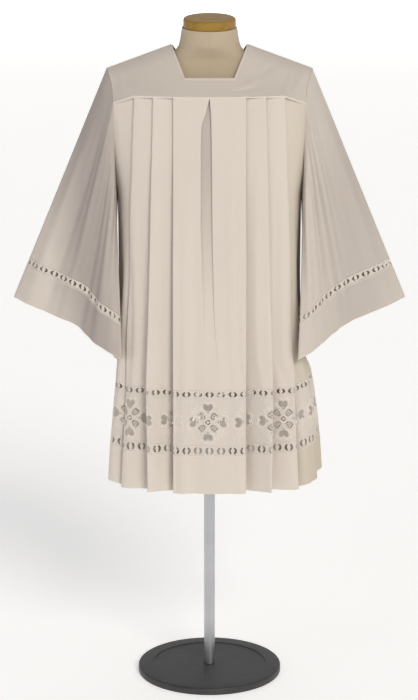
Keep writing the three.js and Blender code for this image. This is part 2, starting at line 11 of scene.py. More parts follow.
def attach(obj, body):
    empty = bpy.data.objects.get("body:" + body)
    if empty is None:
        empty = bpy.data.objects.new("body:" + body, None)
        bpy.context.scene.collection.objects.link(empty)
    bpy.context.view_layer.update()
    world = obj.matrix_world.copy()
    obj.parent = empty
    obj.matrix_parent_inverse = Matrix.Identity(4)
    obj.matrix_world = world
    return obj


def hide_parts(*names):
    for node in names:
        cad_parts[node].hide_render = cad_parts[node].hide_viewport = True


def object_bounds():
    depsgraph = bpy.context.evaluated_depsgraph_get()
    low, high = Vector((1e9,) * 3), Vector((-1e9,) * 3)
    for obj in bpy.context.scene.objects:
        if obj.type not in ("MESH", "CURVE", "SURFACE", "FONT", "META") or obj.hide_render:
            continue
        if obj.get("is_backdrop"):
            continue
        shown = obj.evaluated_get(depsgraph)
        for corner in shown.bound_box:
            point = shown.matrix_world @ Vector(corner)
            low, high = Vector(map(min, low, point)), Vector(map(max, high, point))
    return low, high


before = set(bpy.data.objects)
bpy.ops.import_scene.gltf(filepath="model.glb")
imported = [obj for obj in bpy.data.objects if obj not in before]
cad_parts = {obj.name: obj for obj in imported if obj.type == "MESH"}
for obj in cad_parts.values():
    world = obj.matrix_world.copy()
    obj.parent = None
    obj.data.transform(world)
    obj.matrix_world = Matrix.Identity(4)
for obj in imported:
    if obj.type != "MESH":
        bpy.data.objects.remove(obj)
CAD_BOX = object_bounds()

bl_info = {
    "name": "Surplice on dress form",
    "version": (1, 0, 0),
    "blender": (4, 5, 0),
    "location": "3D View > Sidebar > Surplice",
    "description": "Builds a pleated surplice with lace bands, its dress form and its stand",
    "category": "Object",
}

# ---------------------------------------------------------------- sizes, in millimetres
MM = 0.001
LAYER = 3.2  # between the middles of two layers of a pressed pleat
RING_POWER = 2.8  # roundness of the body's plan outline: 2 is an ellipse
SEAM_GAP = 0.3

YOKE_SEAM = 1336
SEAM_BAND = 6
PANEL_TOP = YOKE_SEAM - SEAM_BAND / 2 - 2 * SEAM_GAP
YOKE_BOTTOM = YOKE_SEAM + SEAM_BAND / 2 + 2 * SEAM_GAP
UPPER_INSERTION = (700, 683)
LACE_BAND = (683, 577)
LOWER_INSERTION = (577, 555)
HEM = (555, 470)

NECK_TOP = 1440
NECK_HALF_WIDTH = 87
SHOULDER_HALF_WIDTH = 224
SHOULDER_SLOPE = 0.365
SHOULDER_Y = 4
SHOULDER_RADIUS = 24
ARMHOLE_SCOOP = 4


def table(header, rows):
    """Rows of numbers under a line of column names, as dictionaries."""
    names = header.split()
    return [dict(zip(names, row)) for row in rows]


# first_share: the first row below the shoulder's ridge. area: of the flat cut, in square metres.
FRONT_YOKE, BACK_YOKE = table(
    "face neck_drop neck_half first_share neck_rows rows_below area",
    [
        [-1, 72, 56, 0.24, 20, 12, 0.052],
        [1, 26, 70, 0.22, 4, 26, 0.0565],
    ],
)
YOKES = {"front": FRONT_YOKE, "back": BACK_YOKE}


# Heights from the top. left, right, front, back: half sizes of the ring that the pleats lie on.
# end, lift: angle where a panel ends and how far that end rises. crest1..3: edges of the pleats.
# tuck, deep: how far a hidden fold lies inwards of its crest and behind it. slot...: the middle pleat.
# ease1, ease2, ease_end: depths of the plain side beyond the last pleat.
SKIRT = table(
    "z left right front back end lift crest1 crest2 crest3 tuck deep slot_tuck slot_open ease1 ease2"
    " ease_end",
    [
        [1332.4, 235, 235, 112, 108, 57, -16, 78, 121, 162, 38, 6.4, 30, 0, 4, 2, 0],
        [1220, 216, 216, 116, 112, 69, 0, 78, 124, 167, 38, 8, 30, 0, 5, 2, 0],
        [1160, 208, 208, 120, 115, 80, 0, 78, 126, 169, 37, 11, 28, 0, 5, 3, 0],
        [1110, 203, 203, 124, 118, 90, 0, 78, 127, 172, 36, 14, 26, 0, 5, 4, 0],
        [950, 202, 202, 132, 124, 90, 4, 79, 131, 178, 36, 20, 22, 0, 5, 7, 0],
        [820, 204, 205, 140, 131, 90, 8, 79, 135, 184, 35, 26, 17, 2, 4, 10, 0],
        [765, 207, 208, 144, 134, 90, 10, 79, 137, 186, 34, 28, 18, 5, 3, 11, 1],
        [700, 212, 232, 148, 138, 90, 12, 79, 139, 188, 34, 31, 20, 10, 2, 13, 2],
        [550, 226, 253, 156, 146, 90, 16, 79, 137, 195, 33, 36, 20, 10, 1, 17, 3],
        [470, 230, 260, 161, 150, 90, 18, 79, 136, 199, 32, 38, 20, 10, 0, 20, 4],
    ],
)
# The middle pleat's two edges, and how deep it lies: it stands open at the left and fades out below.
SLOT = table(
    "z slot_left slot_right slot_deep",
    [
        [1332.4, 1.5, 1.5, 0.9],
        [1300, 10, 4, 0.75],
        [1268, 19, 5, 0.65],
        [1200, 20, 6, 0.6],
        [1060, 20, 7, 0.55],
        [940, 16, 9, 0.4],
        [850, 13, 11, 0.25],
        [765, 19, 19, 0.1],
        [700, 30, 30, 0],
        [470, 30, 30, 0],
    ],
)

# Stations round a sleeve, from the shoulder through the front to the underarm and up the back.
SLEEVE = table(
    "on at x y z",
    [
        ["yoke_front", 0, 438, 0, 882],
        ["yoke_front", 0.3, 402, -26, 869],
        ["yoke_front", 0.65, 358, -42, 852],
        ["yoke_front", 1, 306, -49, 832],
        ["panel_front", 1268, 268, -68, 804],
        ["panel_front", 1215, 224, -98, 776],
        ["panel_front", 1160, 193, -108, 760],
        ["panel_front", 1128, 213, -62, 759],
        ["panel_front", 1110, 216, 8, 770],
        ["panel_back", 1128, 221, 36, 780],
        ["panel_back", 1160, 238, 50, 788],
        ["panel_back", 1215, 262, 44, 806],
        ["panel_back", 1268, 292, 54, 826],
        ["yoke_back", 1, 330, 48, 843],
        ["yoke_back", 0.65, 372, 42, 857],
        ["yoke_back", 0.3, 408, 26, 870],
    ],
)
SLEEVE_SHIFT = 0.5
SLEEVE_HEM = 79
SLEEVE_INSERTION = 17
SLEEVE_GAP = 0.6


# ---------------------------------------------------------------- small sums
def mix(start, end, share):
    return start + (end - start) * share


def clamp(value):
    return max(0.0, min(1.0, value))


def spread(start, end, count):
    """Even steps from start to end, both included."""
    return [mix(start, end, i / (count - 1)) for i in range(count)]


def bump(distance, width):
    """A soft hill: 1 in the middle, 0 from one width away."""
    share = abs(distance) / width
    return 0.0 if share >= 1 else (0.5 + 0.5 * math.cos(math.pi * share))


def ease(value):
    """0 to 1 with a soft start and end."""
    value = clamp(value)
    return value * value * (3 - 2 * value)


def smooth_curve(places, values):
    """A function through the given values, smooth and without overshoot, for rising places."""
    count = len(places)
    steps = [places[i + 1] - places[i] for i in range(count - 1)]
    slopes = [(values[i + 1] - values[i]) / steps[i] for i in range(count - 1)]
    tilts = [slopes[0]]
    for i in range(1, count - 1):
        before, after = slopes[i - 1], slopes[i]
        tilts.append(0.0 if before * after <= 0 else 2 * before * after / (before + after))
    tilts.append(slopes[-1])

    def at(place):
        i = 0
        while i < count - 2 and place > places[i + 1]:
            i += 1
        share = clamp((place - places[i]) / steps[i])
        rest = 1 - share
        return (
            values[i] * (1 + 2 * share) * rest * rest
            + values[i + 1] * share * share * (3 - 2 * share)
            + steps[i] * share * rest * (rest * tilts[i] - share * tilts[i + 1])
        )

    return at


def smooth_loop(values, place):
    """The value at a place of a closed smooth curve through the given values, one place each."""
    count = len(values)
    i = math.floor(place)
    share = place - i
    before, start, end, after = (values[(i + k) % count] for k in (-1, 0, 1, 2))
    return 0.5 * (
        2 * start
        + (end - before) * share
        + (2 * before - 5 * start + 4 * end - after) * share**2
        + (3 * start - before - 3 * end + after) * share**3
    )


SKIRT_CURVES = {
    name: smooth_curve([row["z"] for row in rows][::-1], [row[name] for row in rows][::-1])
    for rows in (SKIRT, SLOT)
    for name in rows[0]
}


def skirt_at(z):
    """The skirt's row at a height, smooth between the rows of the tables."""
    row = {name: curve(z) for name, curve in SKIRT_CURVES.items()}
    row["z"] = z
    return row


# ---------------------------------------------------------------- body of the garment
def ring_point(row, face, side, angle, depth):
    """A point of a ring, with its outward and sideways directions. face -1 is the front."""
    half = row["left"] if side < 0 else row["right"]
    reach = row["front"] if face < 0 else row["back"]
    across = math.sin(angle) ** (2 / RING_POWER)
    out = max(math.cos(angle), 0) ** (2 / RING_POWER)
    normal = Vector(
        (side * across ** (RING_POWER - 1) / half, face * out ** (RING_POWER - 1) / reach, 0)
    ).normalized()
    along = Vector((-normal.y, normal.x, 0)) * (-face * side)
    point = Vector((side * half * across, face * reach * out, row["z"])) - normal * depth
    return point, normal, along


def angle_at(row, side, x):
    half = row["left"] if side < 0 else row["right"]
    return math.asin(clamp(x / half) ** (RING_POWER / 2))


def end_share(row, side, angle):
    """How far a point lies across the plain side, from the last pleat to the end of the panel."""
    half = row["left"] if side < 0 else row["right"]
    across = half * math.sin(angle) ** (2 / RING_POWER)
    end = half * math.sin(math.radians(row["end"])) ** (2 / RING_POWER)
    return clamp((across - row["crest3"]) / (end - row["crest3"]))


# Soft folds laid in over the pleats. turn: degrees round the body, negative to the left as
# seen from outside, at the top and at the bottom of the fold. height: how far it stands out.
BODY_FOLDS = table(
    "face turn1 z1 turn2 z2 width height",
    [
        [-1, -4.5, 1200, -4, 640, 3.6, -2.4],
        [-1, 6, 1300, 8.5, 700, 3.4, 2.2],
        [-1, -9.5, 1180, -8.5, 560, 3.2, 1.8],
        [-1, 1.5, 880, 1, 470, 3.4, 1.6],
        [-1, 10.5, 1010, 12, 470, 2.8, -2.0],
        [-1, -13, 760, -12.5, 470, 2.4, -1.4],
        [-1, -24, 1290, -21, 520, 4.4, -2.6],
        [-1, -43, 1240, -39, 470, 6.0, -3.0],
        [-1, 22, 1250, 24, 540, 4.0, 2.2],
        [-1, 41, 1290, 44, 470, 5.5, -3.2],
        [-1, 61, 1180, 60, 470, 6.5, -5.5],
        [-1, 71, 1060, 72, 470, 6.5, 5.0],
        [-1, 82, 980, 81, 470, 5.0, -4.5],
        [-1, -55, 1160, -56, 470, 5.5, -5.0],
        [-1, -66, 1010, -68, 520, 7.5, 9.0],
        [-1, -79, 960, -80, 520, 6.0, -6.0],
        [1, -3.5, 1230, -6, 520, 3.6, 2.2],
        [1, 7, 1180, 5, 600, 3.2, -2.0],
        [1, 11.5, 940, 12, 470, 3.0, 1.8],
        [1, -11.5, 1080, -10, 470, 3.0, -2.0],
        [1, 24, 1270, 22, 500, 4.2, -2.4],
        [1, -25, 1220, -23, 560, 4.4, 2.4],
        [1, 44, 1230, 41, 470, 5.6, 3.0],
        [1, -42, 1260, -44, 470, 5.6, -3.0],
        [1, 66, 1160, 68, 470, 8.0, -4.0],
        [1, -63, 1150, -65, 470, 8.0, -4.2],
        [1, 78, 1040, 80, 470, 6.0, 3.4],
        [1, -78, 1060, -80, 470, 6.0, 3.0],
    ],
)


def body_fold(face, side, angle, z):
    """How far the cloth stands out at a place, from all the soft folds together."""
    turn = math.degrees(angle) * side * -face
    total = 0.0
    for fold in BODY_FOLDS:
        if fold["face"] != face:
            continue
        share = (fold["z1"] - z) / (fold["z1"] - fold["z2"])
        if share <= 0:
            continue
        middle = mix(fold["turn1"], fold["turn2"], min(share, 1.2))
        total += fold["height"] * bump(turn - middle, fold["width"]) * ease(share * 2.5)
    at_edges = ease((90 - abs(turn)) / 6) * ease((PANEL_TOP - z) / 60)
    return total * at_edges


FOLD_SIZE = LAYER / 2
# Columns of a half row: round the edge of a pressed fold, on each layer of the middle pleat, on a
# middle without it, on the front and the hidden layer of each pleat, and on the plain side.
FOLD_STEPS = 5
SLOT_STEPS = 6
MIDDLE_STEPS = 10
FRONT_STEPS = 16
BEHIND_STEPS = 7
SIDE_STEPS = 22


def half_row(row, face, side, with_slot, steps=1.0):
    """One half of a panel's row, from the middle outwards, fold by fold, with rounded edges."""
    end = math.radians(row["end"])
    pitch = row["crest2"] - row["crest1"]
    deep, tuck = row["deep"], row["tuck"]
    lean = (math.atan2(deep, tuck) + math.atan2(deep, tuck + pitch)) / 2
    points = []

    def put(angle, depth, turned=0.0, bulge=0.0):
        point, normal, along = ring_point(row, face, side, angle, depth)
        point += (along * math.sin(lean) - normal * math.cos(lean)) * (turned * LAYER)
        point += (along * math.cos(lean) + normal * math.sin(lean)) * bulge
        point += normal * body_fold(face, side, angle, row["z"])
        point.z += row["lift"] * end_share(row, side, angle)
        points.append(point)

    def stretch(x1, depth1, turned1, x2, depth2, turned2, count):
        start, stop = angle_at(row, side, x1), angle_at(row, side, x2)
        for share in spread(0, 1, max(2, round(count * steps))):
            put(mix(start, stop, share), mix(depth1, depth2, share), mix(turned1, turned2, share))

    def edge(x, depth, outwards):
        angle = angle_at(row, side, x)
        for i in range(1, FOLD_STEPS):
            turn = math.pi * i / FOLD_STEPS
            put(angle, depth, (1 - math.cos(turn)) / 2, outwards * FOLD_SIZE * math.sin(turn))

    def slot_edge(x1, depth1, x2, depth2, outwards):
        for i in range(1, FOLD_STEPS):
            turn = math.pi * i / FOLD_STEPS
            share = (1 - math.cos(turn)) / 2
            x = mix(x1, x2, share) + outwards * FOLD_SIZE * math.sin(turn) * row["slot_deep"]
            put(angle_at(row, side, max(x, 0)), mix(depth1, depth2, share))

    slot = row["slot_left"] if side < 0 else row["slot_right"]
    slot_out = slot + row["slot_open"]
    if with_slot:
        sunk = LAYER * row["slot_deep"]
        inner = row["slot_tuck"] - row["slot_open"]
        stretch(0, 2.5 * sunk, 0, inner, 2.5 * sunk, 0, SLOT_STEPS)
        slot_edge(inner, 2.5 * sunk, row["slot_tuck"], 1.5 * sunk, 1)
        stretch(row["slot_tuck"], 1.5 * sunk, 0, slot, sunk, 0, SLOT_STEPS)
        slot_edge(slot, sunk, slot_out, 0, -1)
    else:
        stretch(0, 0, 0, slot_out, 0, 0, MIDDLE_STEPS)
        points.pop()
    start = slot_out
    depth, turned = 0.0, 0.0
    for crest in (row["crest1"], row["crest2"], row["crest3"]):
        outer, hidden = crest - FOLD_SIZE, crest - tuck + FOLD_SIZE
        stretch(start, depth, turned, outer, 0, 0, FRONT_STEPS)
        edge(outer, 0, 1)
        stretch(outer, 0, 1, hidden, deep, 0, BEHIND_STEPS)
        edge(hidden, deep, -1)
        start, depth, turned = hidden, deep, 1.0
    first, last = angle_at(row, side, start), angle_at(row, side, row["crest3"])
    knots = [first, mix(last, end, 0.38), mix(last, end, 0.72), end]
    sinking = smooth_curve(knots, [deep, row["ease1"], row["ease2"], row["ease_end"]])
    for share in spread(0, 1, round(SIDE_STEPS * steps)):
        angle = mix(first, end, share)
        put(angle, sinking(angle), max(1 - share * 2.6, 0))
    return points


def crest_columns(with_slot):
    """The columns that run down the outer edges of the pleats, counted from the middle one."""
    edges = 2 * (FOLD_STEPS - 1)
    before = 2 * SLOT_STEPS + edges if with_slot else MIDDLE_STEPS - 1
    pleat = FRONT_STEPS + BEHIND_STEPS + edges
    places = [before + k * pleat + FRONT_STEPS + 1 for k in range(3)]
    return [-place for place in places] + places


def panel_row(z, face, with_slot, steps=1.0):
    """A whole row of the front or back, left to right as seen from outside."""
    row = skirt_at(z)
    first = half_row(row, face, face, with_slot, steps)
    second = half_row(row, face, -face, with_slot, steps)
    return first[:0:-1] + second


# ---------------------------------------------------------------- yoke
YOKE_FOLDS = table(
    "face x1 z1 x2 z2 width height",
    [
        [-1, -196, 1378, -182, 1334, 10, 5.2],
        [-1, -212, 1374, -205, 1330, 8, -4.6],
        [-1, -158, 1396, -118, 1350, 13, -3.0],
        [-1, -132, 1404, -92, 1366, 12, 2.6],
        [-1, -96, 1392, -62, 1352, 12, -2.0],
        [-1, 200, 1380, 178, 1336, 9, 5.6],
        [-1, 214, 1370, 207, 1328, 7, -4.6],
        [-1, 60, 1350, 132, 1384, 10, 3.2],
        [-1, 40, 1342, 104, 1354, 7, -2.4],
        [-1, 142, 1402, 98, 1364, 12, -3.0],
        [-1, 174, 1395, 152, 1348, 10, -3.2],
        [1, -190, 1372, -172, 1338, 10, 4.6],
        [1, 196, 1374, 180, 1336, 10, 4.6],
        [1, -120, 1404, -60, 1356, 14, -3.0],
        [1, 110, 1402, 70, 1350, 14, -3.0],
        [1, -30, 1400, -10, 1346, 14, 1.2],
        [1, 36, 1396, 52, 1346, 12, 1.2],
    ],
)


def shoulder_height(x):
    return NECK_TOP - max(x - NECK_HALF_WIDTH, 0) * SHOULDER_SLOPE


TOP_ROW = skirt_at(PANEL_TOP)
ARMHOLE_BOTTOM = ring_point(TOP_ROW, -1, 1, math.radians(TOP_ROW["end"]), 0)[0].x


def seam_height(x, level):
    """The height of the yoke seam falls towards the armhole."""
    return level + TOP_ROW["lift"] * end_share(TOP_ROW, 1, angle_at(TOP_ROW, 1, x))


def chest_reach(face, x):
    return abs(ring_point(TOP_ROW, face, 1, angle_at(TOP_ROW, 1, x), 0)[0].y)


def line_hill(fold, x, z):
    """A soft hill along a slanting line, fading out at both of its ends."""
    dx, dz = fold["x2"] - fold["x1"], fold["z2"] - fold["z1"]
    length = math.hypot(dx, dz)
    along = ((x - fold["x1"]) * dx + (z - fold["z1"]) * dz) / (length * length)
    across = ((x - fold["x1"]) * dz - (z - fold["z1"]) * dx) / length
    return fold["height"] * bump(across, fold["width"]) * bump(along - 0.55, 0.75)


def yoke_point(face, side, x, top_x, bottom_x, share):
    """Over the rounded shoulder ridge, then down the chest or back."""
    top = shoulder_height(top_x)
    fall = (top - seam_height(bottom_x, YOKE_BOTTOM)) * share
    ridge = math.sqrt(1 - (1 - min(fall / SHOULDER_RADIUS, 1)) ** 2) * SHOULDER_RADIUS
    slope = (chest_reach(face, bottom_x) - SHOULDER_RADIUS - face * SHOULDER_Y) * share
    point = Vector((side * x, SHOULDER_Y + face * (ridge + slope), top - fall))
    at_edges = ease(fall / (SHOULDER_RADIUS + 2)) * ease((1 - share) * 9)
    at_edges *= ease((armhole_edge(share) - x) / 9)
    for fold in YOKE_FOLDS:
        if fold["face"] == face:
            point.y += face * line_hill(fold, side * x, point.z) * at_edges
    return point


def neck_edge(shape, share):
    neck_share = shape["neck_drop"] / (NECK_TOP - YOKE_BOTTOM)
    return mix(NECK_HALF_WIDTH, shape["neck_half"], min(share / neck_share, 1))


def armhole_edge(share):
    scoop = ARMHOLE_SCOOP * math.sin(math.pi * share)
    return mix(SHOULDER_HALF_WIDTH, ARMHOLE_BOTTOM, share) - scoop


def yoke_column(shape, side, column, share):
    x = mix(neck_edge(shape, share), armhole_edge(share), column)
    top_x = mix(NECK_HALF_WIDTH, SHOULDER_HALF_WIDTH, column)
    bottom_x = mix(shape["neck_half"], armhole_edge(1), column)
    return yoke_point(shape["face"], side, x, top_x, bottom_x, share)


# Rows of the yoke over the shoulder's ridge and behind the seam band, as shares of its fall.
OVER_RIDGE = [0, 0.012, 0.03, 0.055, 0.085, 0.12, 0.16, 0.2]
UNDER_SEAM = 1.03
STRAP_STEPS = 30  # columns of the yoke on each shoulder
YOKE_MIDDLE_STEPS = 25


def yoke_row(shape, share):
    """A row of the yoke, left to right as seen from outside."""
    columns = spread(0, 1, STRAP_STEPS)
    straps = [
        [yoke_column(shape, side, column, share) for column in columns]
        for side in (shape["face"], -shape["face"])
    ]
    middle = []
    for column in spread(-1, 1, YOKE_MIDDLE_STEPS)[1:-1]:
        x = column * neck_edge(shape, share) * -shape["face"]
        middle.append(yoke_point(shape["face"], math.copysign(1, x), abs(x), 0, abs(x), share))
    return straps[0][::-1] + middle + straps[1]


# ---------------------------------------------------------------- sleeves
# Long soft folds of the sleeves. place: station round the sleeve at the head and at the cuff.
SLEEVE_FOLDS = table(
    "side place1 place2 start stop width height",
    [
        [-1, 1.0, 0.9, 0.06, 0.97, 0.55, 6.0],
        [-1, 2.1, 1.8, 0.04, 0.98, 0.5, -7.5],
        [-1, 3.1, 2.6, 0.03, 1.0, 0.42, 9.0],
        [-1, 4.1, 3.4, 0.0, 0.97, 0.4, -7.5],
        [-1, 5.0, 4.4, 0.0, 1.0, 0.45, 10.0],
        [-1, 6.0, 5.4, 0.1, 0.96, 0.45, -4.0],
        [-1, 10.3, 10.5, 0.06, 0.98, 0.5, -6.0],
        [-1, 11.6, 11.8, 0.05, 0.95, 0.6, 6.5],
        [-1, 13.1, 13.0, 0.04, 1.0, 0.55, -7.0],
        [-1, 14.3, 14.3, 0.05, 0.96, 0.6, 6.0],
        [1, 0.8, 1.0, 0.05, 1.0, 0.5, 5.0],
        [1, 1.9, 2.0, 0.05, 0.96, 0.55, -6.5],
        [1, 2.9, 3.0, 0.02, 1.0, 0.42, 8.5],
        [1, 3.9, 4.0, 0.0, 0.95, 0.4, -7.0],
        [1, 4.9, 5.1, 0.05, 0.98, 0.5, 6.5],
        [1, 6.0, 6.1, 0.1, 0.96, 0.45, -4.0],
        [1, 10.5, 10.2, 0.05, 0.98, 0.5, 6.0],
        [1, 11.5, 11.4, 0.06, 0.94, 0.5, -5.5],
        [1, 12.8, 12.9, 0.05, 1.0, 0.6, 6.5],
        [1, 14.2, 14.0, 0.04, 0.97, 0.6, -6.5],
    ],
)


def armhole_point(place):
    """A point of the armhole: down the front of yoke and panel, and up their back."""
    i = int(place) % len(SLEEVE)
    share = place - int(place)
    here = SLEEVE[i]
    after = SLEEVE[(i + 1) % len(SLEEVE)]
    on, start, stop = here["on"], here["at"], after["at"]
    if here["on"] != after["on"]:
        if on == "yoke_front":
            on, start = "panel_front", PANEL_TOP
        elif on == "panel_front":
            on = "panel_back"
        elif on == "panel_back":
            stop = PANEL_TOP
        else:
            stop = 0
    at = mix(start, stop, share)
    face = -1 if on.endswith("front") else 1
    if on.startswith("yoke"):
        return yoke_column(FRONT_YOKE if face < 0 else BACK_YOKE, 1, 1, at)
    row = skirt_at(at)
    end = math.radians(row["end"])
    point = ring_point(row, face, 1, end, row["ease_end"])[0]
    point.z += row["lift"]
    return point


SLEEVE_COUNT = 176  # columns round a sleeve


def sleeve_lines(side):
    """Lines from the armhole to the cuff, close together round the sleeve."""
    lines = []
    for i in range(SLEEVE_COUNT):
        place = i * len(SLEEVE) / SLEEVE_COUNT
        head = armhole_point(place) + Vector((SLEEVE_SHIFT, 0, 0))
        cuff = Vector(smooth_loop([station[axis] for station in SLEEVE], place) for axis in "xyz")
        head.x *= side
        cuff.x *= side
        lines.append((place, head, cuff, (head - cuff).length))
    return lines


def sleeve_fold(side, place, share):
    """How far the cloth stands out. share: 0 at the armhole, 1 at the cuff."""
    total = 0.0
    for fold in SLEEVE_FOLDS:
        if fold["side"] != side:
            continue
        middle = mix(fold["place1"], fold["place2"], share)
        along = (share - fold["start"]) / (fold["stop"] - fold["start"])
        if 0 < along:
            fade = ease(along * 2.2) * (1 - 0.45 * ease((along - 0.7) / 0.4))
            total += fold["height"] * bump(place - middle, fold["width"]) * fade
    return total


def sleeve_ring(lines, side, distance_of):
    """A ring at a distance up from the cuff, measured along each line."""
    middle = sum((cuff for _, _, cuff, _ in lines), Vector()) / len(lines)
    points = []
    for i, (place, head, cuff, length) in enumerate(lines):
        share = distance_of(length) / length
        neighbours = (lines[i - 1], lines[(i + 1) % len(lines)])
        ends = [end[2].lerp(end[1], share) for end in neighbours]
        out = (ends[1] - ends[0]).cross(head - cuff).normalized()
        if out.dot(cuff - middle) < 0:
            out.negate()
        points.append(cuff.lerp(head, share) + out * sleeve_fold(side, place, 1 - share))
    return points


# ---------------------------------------------------------------- cloth
class Cloth:
    """A grid over a cloth: its middle points, outward directions and flat measures, in millimetres.

    Rows run from the top, each from left to right as seen from outside."""

    def __init__(self, rows, closed=False):
        self.rows = rows
        self.closed = closed
        self.width = len(rows[0])
        self.normals = [self._row_normals(v) for v in range(len(rows))]
        self.across = [self._row_lengths(row) for row in rows]
        self.down = [0.0]
        for upper, lower in zip(rows, rows[1:]):
            steps = [(a - b).length for a, b in zip(upper, lower)]
            self.down.append(self.down[-1] + sum(steps) / len(steps))
        self.guide = self.across[len(rows) // 2]

    def _row_normals(self, v):
        rows, width = self.rows, self.width
        upper, row, lower = rows[max(v - 1, 0)], rows[v], rows[min(v + 1, len(rows) - 1)]
        normals = []
        for u in range(width):
            before = (u - 1) % width if self.closed else max(u - 1, 0)
            after = (u + 1) % width if self.closed else min(u + 1, width - 1)
            normal = (lower[u] - upper[u]).cross(row[after] - row[before]).normalized()
            normals.append(normal)
        return normals

    def _row_lengths(self, row):
        """Distances along a row, from its middle when it is open."""
        lengths = [0.0]
        for before, after in zip(row, row[1:]):
            lengths.append(lengths[-1] + (after - before).length)
        start = 0 if self.closed else lengths[-1] / 2
        return [length - start for length in lengths]

    def place(self, across, down):
        """The point and the outward direction at a flat place."""
        u, share_u = locate(self.guide, across)
        v, share_v = locate(self.down, down)
        found = []
        for grid in (self.rows, self.normals):
            upper = grid[v][u].lerp(grid[v][u + 1], share_u)
            lower = grid[v + 1][u].lerp(grid[v + 1][u + 1], share_u)
            found.append(upper.lerp(lower, share_v))
        return found[0], found[1].normalized()


def locate(values, value):
    """The step of a rising list that holds a value, and the share within it."""
    low, high = 0, len(values) - 1
    while high - low > 1:
        middle = (low + high) // 2
        low, high = (middle, high) if values[middle] <= value else (low, middle)
    size = values[low + 1] - values[low]
    return low, clamp((value - values[low]) / size) if size else 0.0


CORD_SIDES = 5
SHARP_CLOTH = 50  # degrees between two faces, from which their edge stays sharp


class Piece:
    """Gathers the points, faces, flat places and finishes of one cloth piece."""

    def __init__(self):
        self.points = []
        self.faces = []
        self.flats = []
        self.finishes = []

    def add_wall(self, points, normals, flats, faces, thickness, finishes):
        """A closed wall from one sheet: outer faces, inner faces and a strip along free edges."""
        start, count = len(self.points), len(points)
        for side in (0.5, -0.5):
            self.points += [p + n * (side * thickness) for p, n in zip(points, normals)]
            self.flats += flats
        edges = {}
        for face, finish in zip(faces, finishes):
            self._add([start + i for i in face], finish)
            self._add([start + count + i for i in face[::-1]], finish)
            for a, b in zip(face, face[1:] + face[:1]):
                edges[a, b] = finish
        for (a, b), finish in edges.items():
            if (b, a) not in edges:
                a, b = a + start, b + start
                self._add([b, a, a + count, b + count], finish)

    def add_cord(self, places, normals, flats, width, height, closed, finish):
        """A raised thread that follows the cloth, half sunk into it."""
        start, count, sides = len(self.points), len(places), CORD_SIDES
        for i in range(count):
            before = places[i - 1] if closed or i else places[i]
            after = places[(i + 1) % count] if closed or i + 1 < count else places[i]
            beside = (after - before).cross(normals[i]).normalized()
            for k in range(sides):
                turn = 2 * math.pi * k / sides
                offset = beside * (math.cos(turn) * width / 2) + normals[i] * (math.sin(turn) * height)
                self.points.append(places[i] + offset)
                self.flats.append(flats[i])
        for i in range(count if closed else count - 1):
            here, there = start + i * sides, start + (i + 1) % count * sides
            for k in range(sides):
                after = (k + 1) % sides
                self._add([here + k, there + k, there + after, here + after], finish)
        if not closed:
            self._add([start + k for k in range(sides)], finish)
            self._add([start + (count - 1) * sides + k for k in range(sides)][::-1], finish)

    def _add(self, face, finish):
        self.faces.append(face)
        self.finishes.append(finish)

    def finish(self, name, materials):
        """Makes the mesh and its object, in metres, with the flat places as its UV map."""
        mesh = bpy.data.meshes.new(name)
        mesh.from_pydata([point * MM for point in self.points], [], self.faces)
        for material in materials:
            mesh.materials.append(material)
        mesh.polygons.foreach_set("material_index", self.finishes)
        layer = mesh.uv_layers.new(name="flat")
        flat = [value * MM for loop in mesh.loops for value in self.flats[loop.vertex_index]]
        layer.data.foreach_set("uv", flat)
        mesh.shade_smooth()
        mesh.set_sharp_from_angle(angle=math.radians(SHARP_CLOTH))
        mesh.validate()
        piece = bpy.data.objects.new(name, mesh)
        bpy.context.scene.collection.objects.link(piece)
        return piece


def wall_piece(spot_of, faces, thickness, finishes):
    """One wall over faces of numbered spots.

    spot_of gives a spot's point, its outward direction and its flat place."""
    used = sorted({i for face in faces for i in face})
    number = {old: new for new, old in enumerate(used)}
    points, normals, flats = zip(*(spot_of(i) for i in used))
    faces = [[number[i] for i in face] for face in faces]
    piece = Piece()
    piece.add_wall(points, normals, flats, faces, thickness, finishes)
    return piece


def grid_piece(cloth, thickness, missing=None, finish=None):
    """A whole grid as one wall. missing and finish tell of its faces, by column and row."""
    width = cloth.width
    faces, finishes = [], []
    for v in range(len(cloth.rows) - 1):
        for u in range(width - 1):
            if missing and missing(u, v):
                continue
            here = v * width + u
            faces.append([here, here + width, here + width + 1, here + 1])
            finishes.append(finish(u, v) if finish else 0)

    def spot_of(i):
        v, u = divmod(i, width)
        return cloth.rows[v][u], cloth.normals[v][u], (cloth.across[v][u], -cloth.down[v])

    return wall_piece(spot_of, faces, thickness, finishes)


def inside(outline, s, t):
    """Whether a flat place lies inside an outline."""
    found = False
    previous = outline[-1]
    for corner in outline:
        if (corner[1] > t) != (previous[1] > t):
            slope = (previous[0] - corner[0]) / (previous[1] - corner[1])
            if s < corner[0] + (t - corner[1]) * slope:
                found = not found
        previous = corner
    return found


BUCKET = 10  # outlines are looked up by stretches of this length


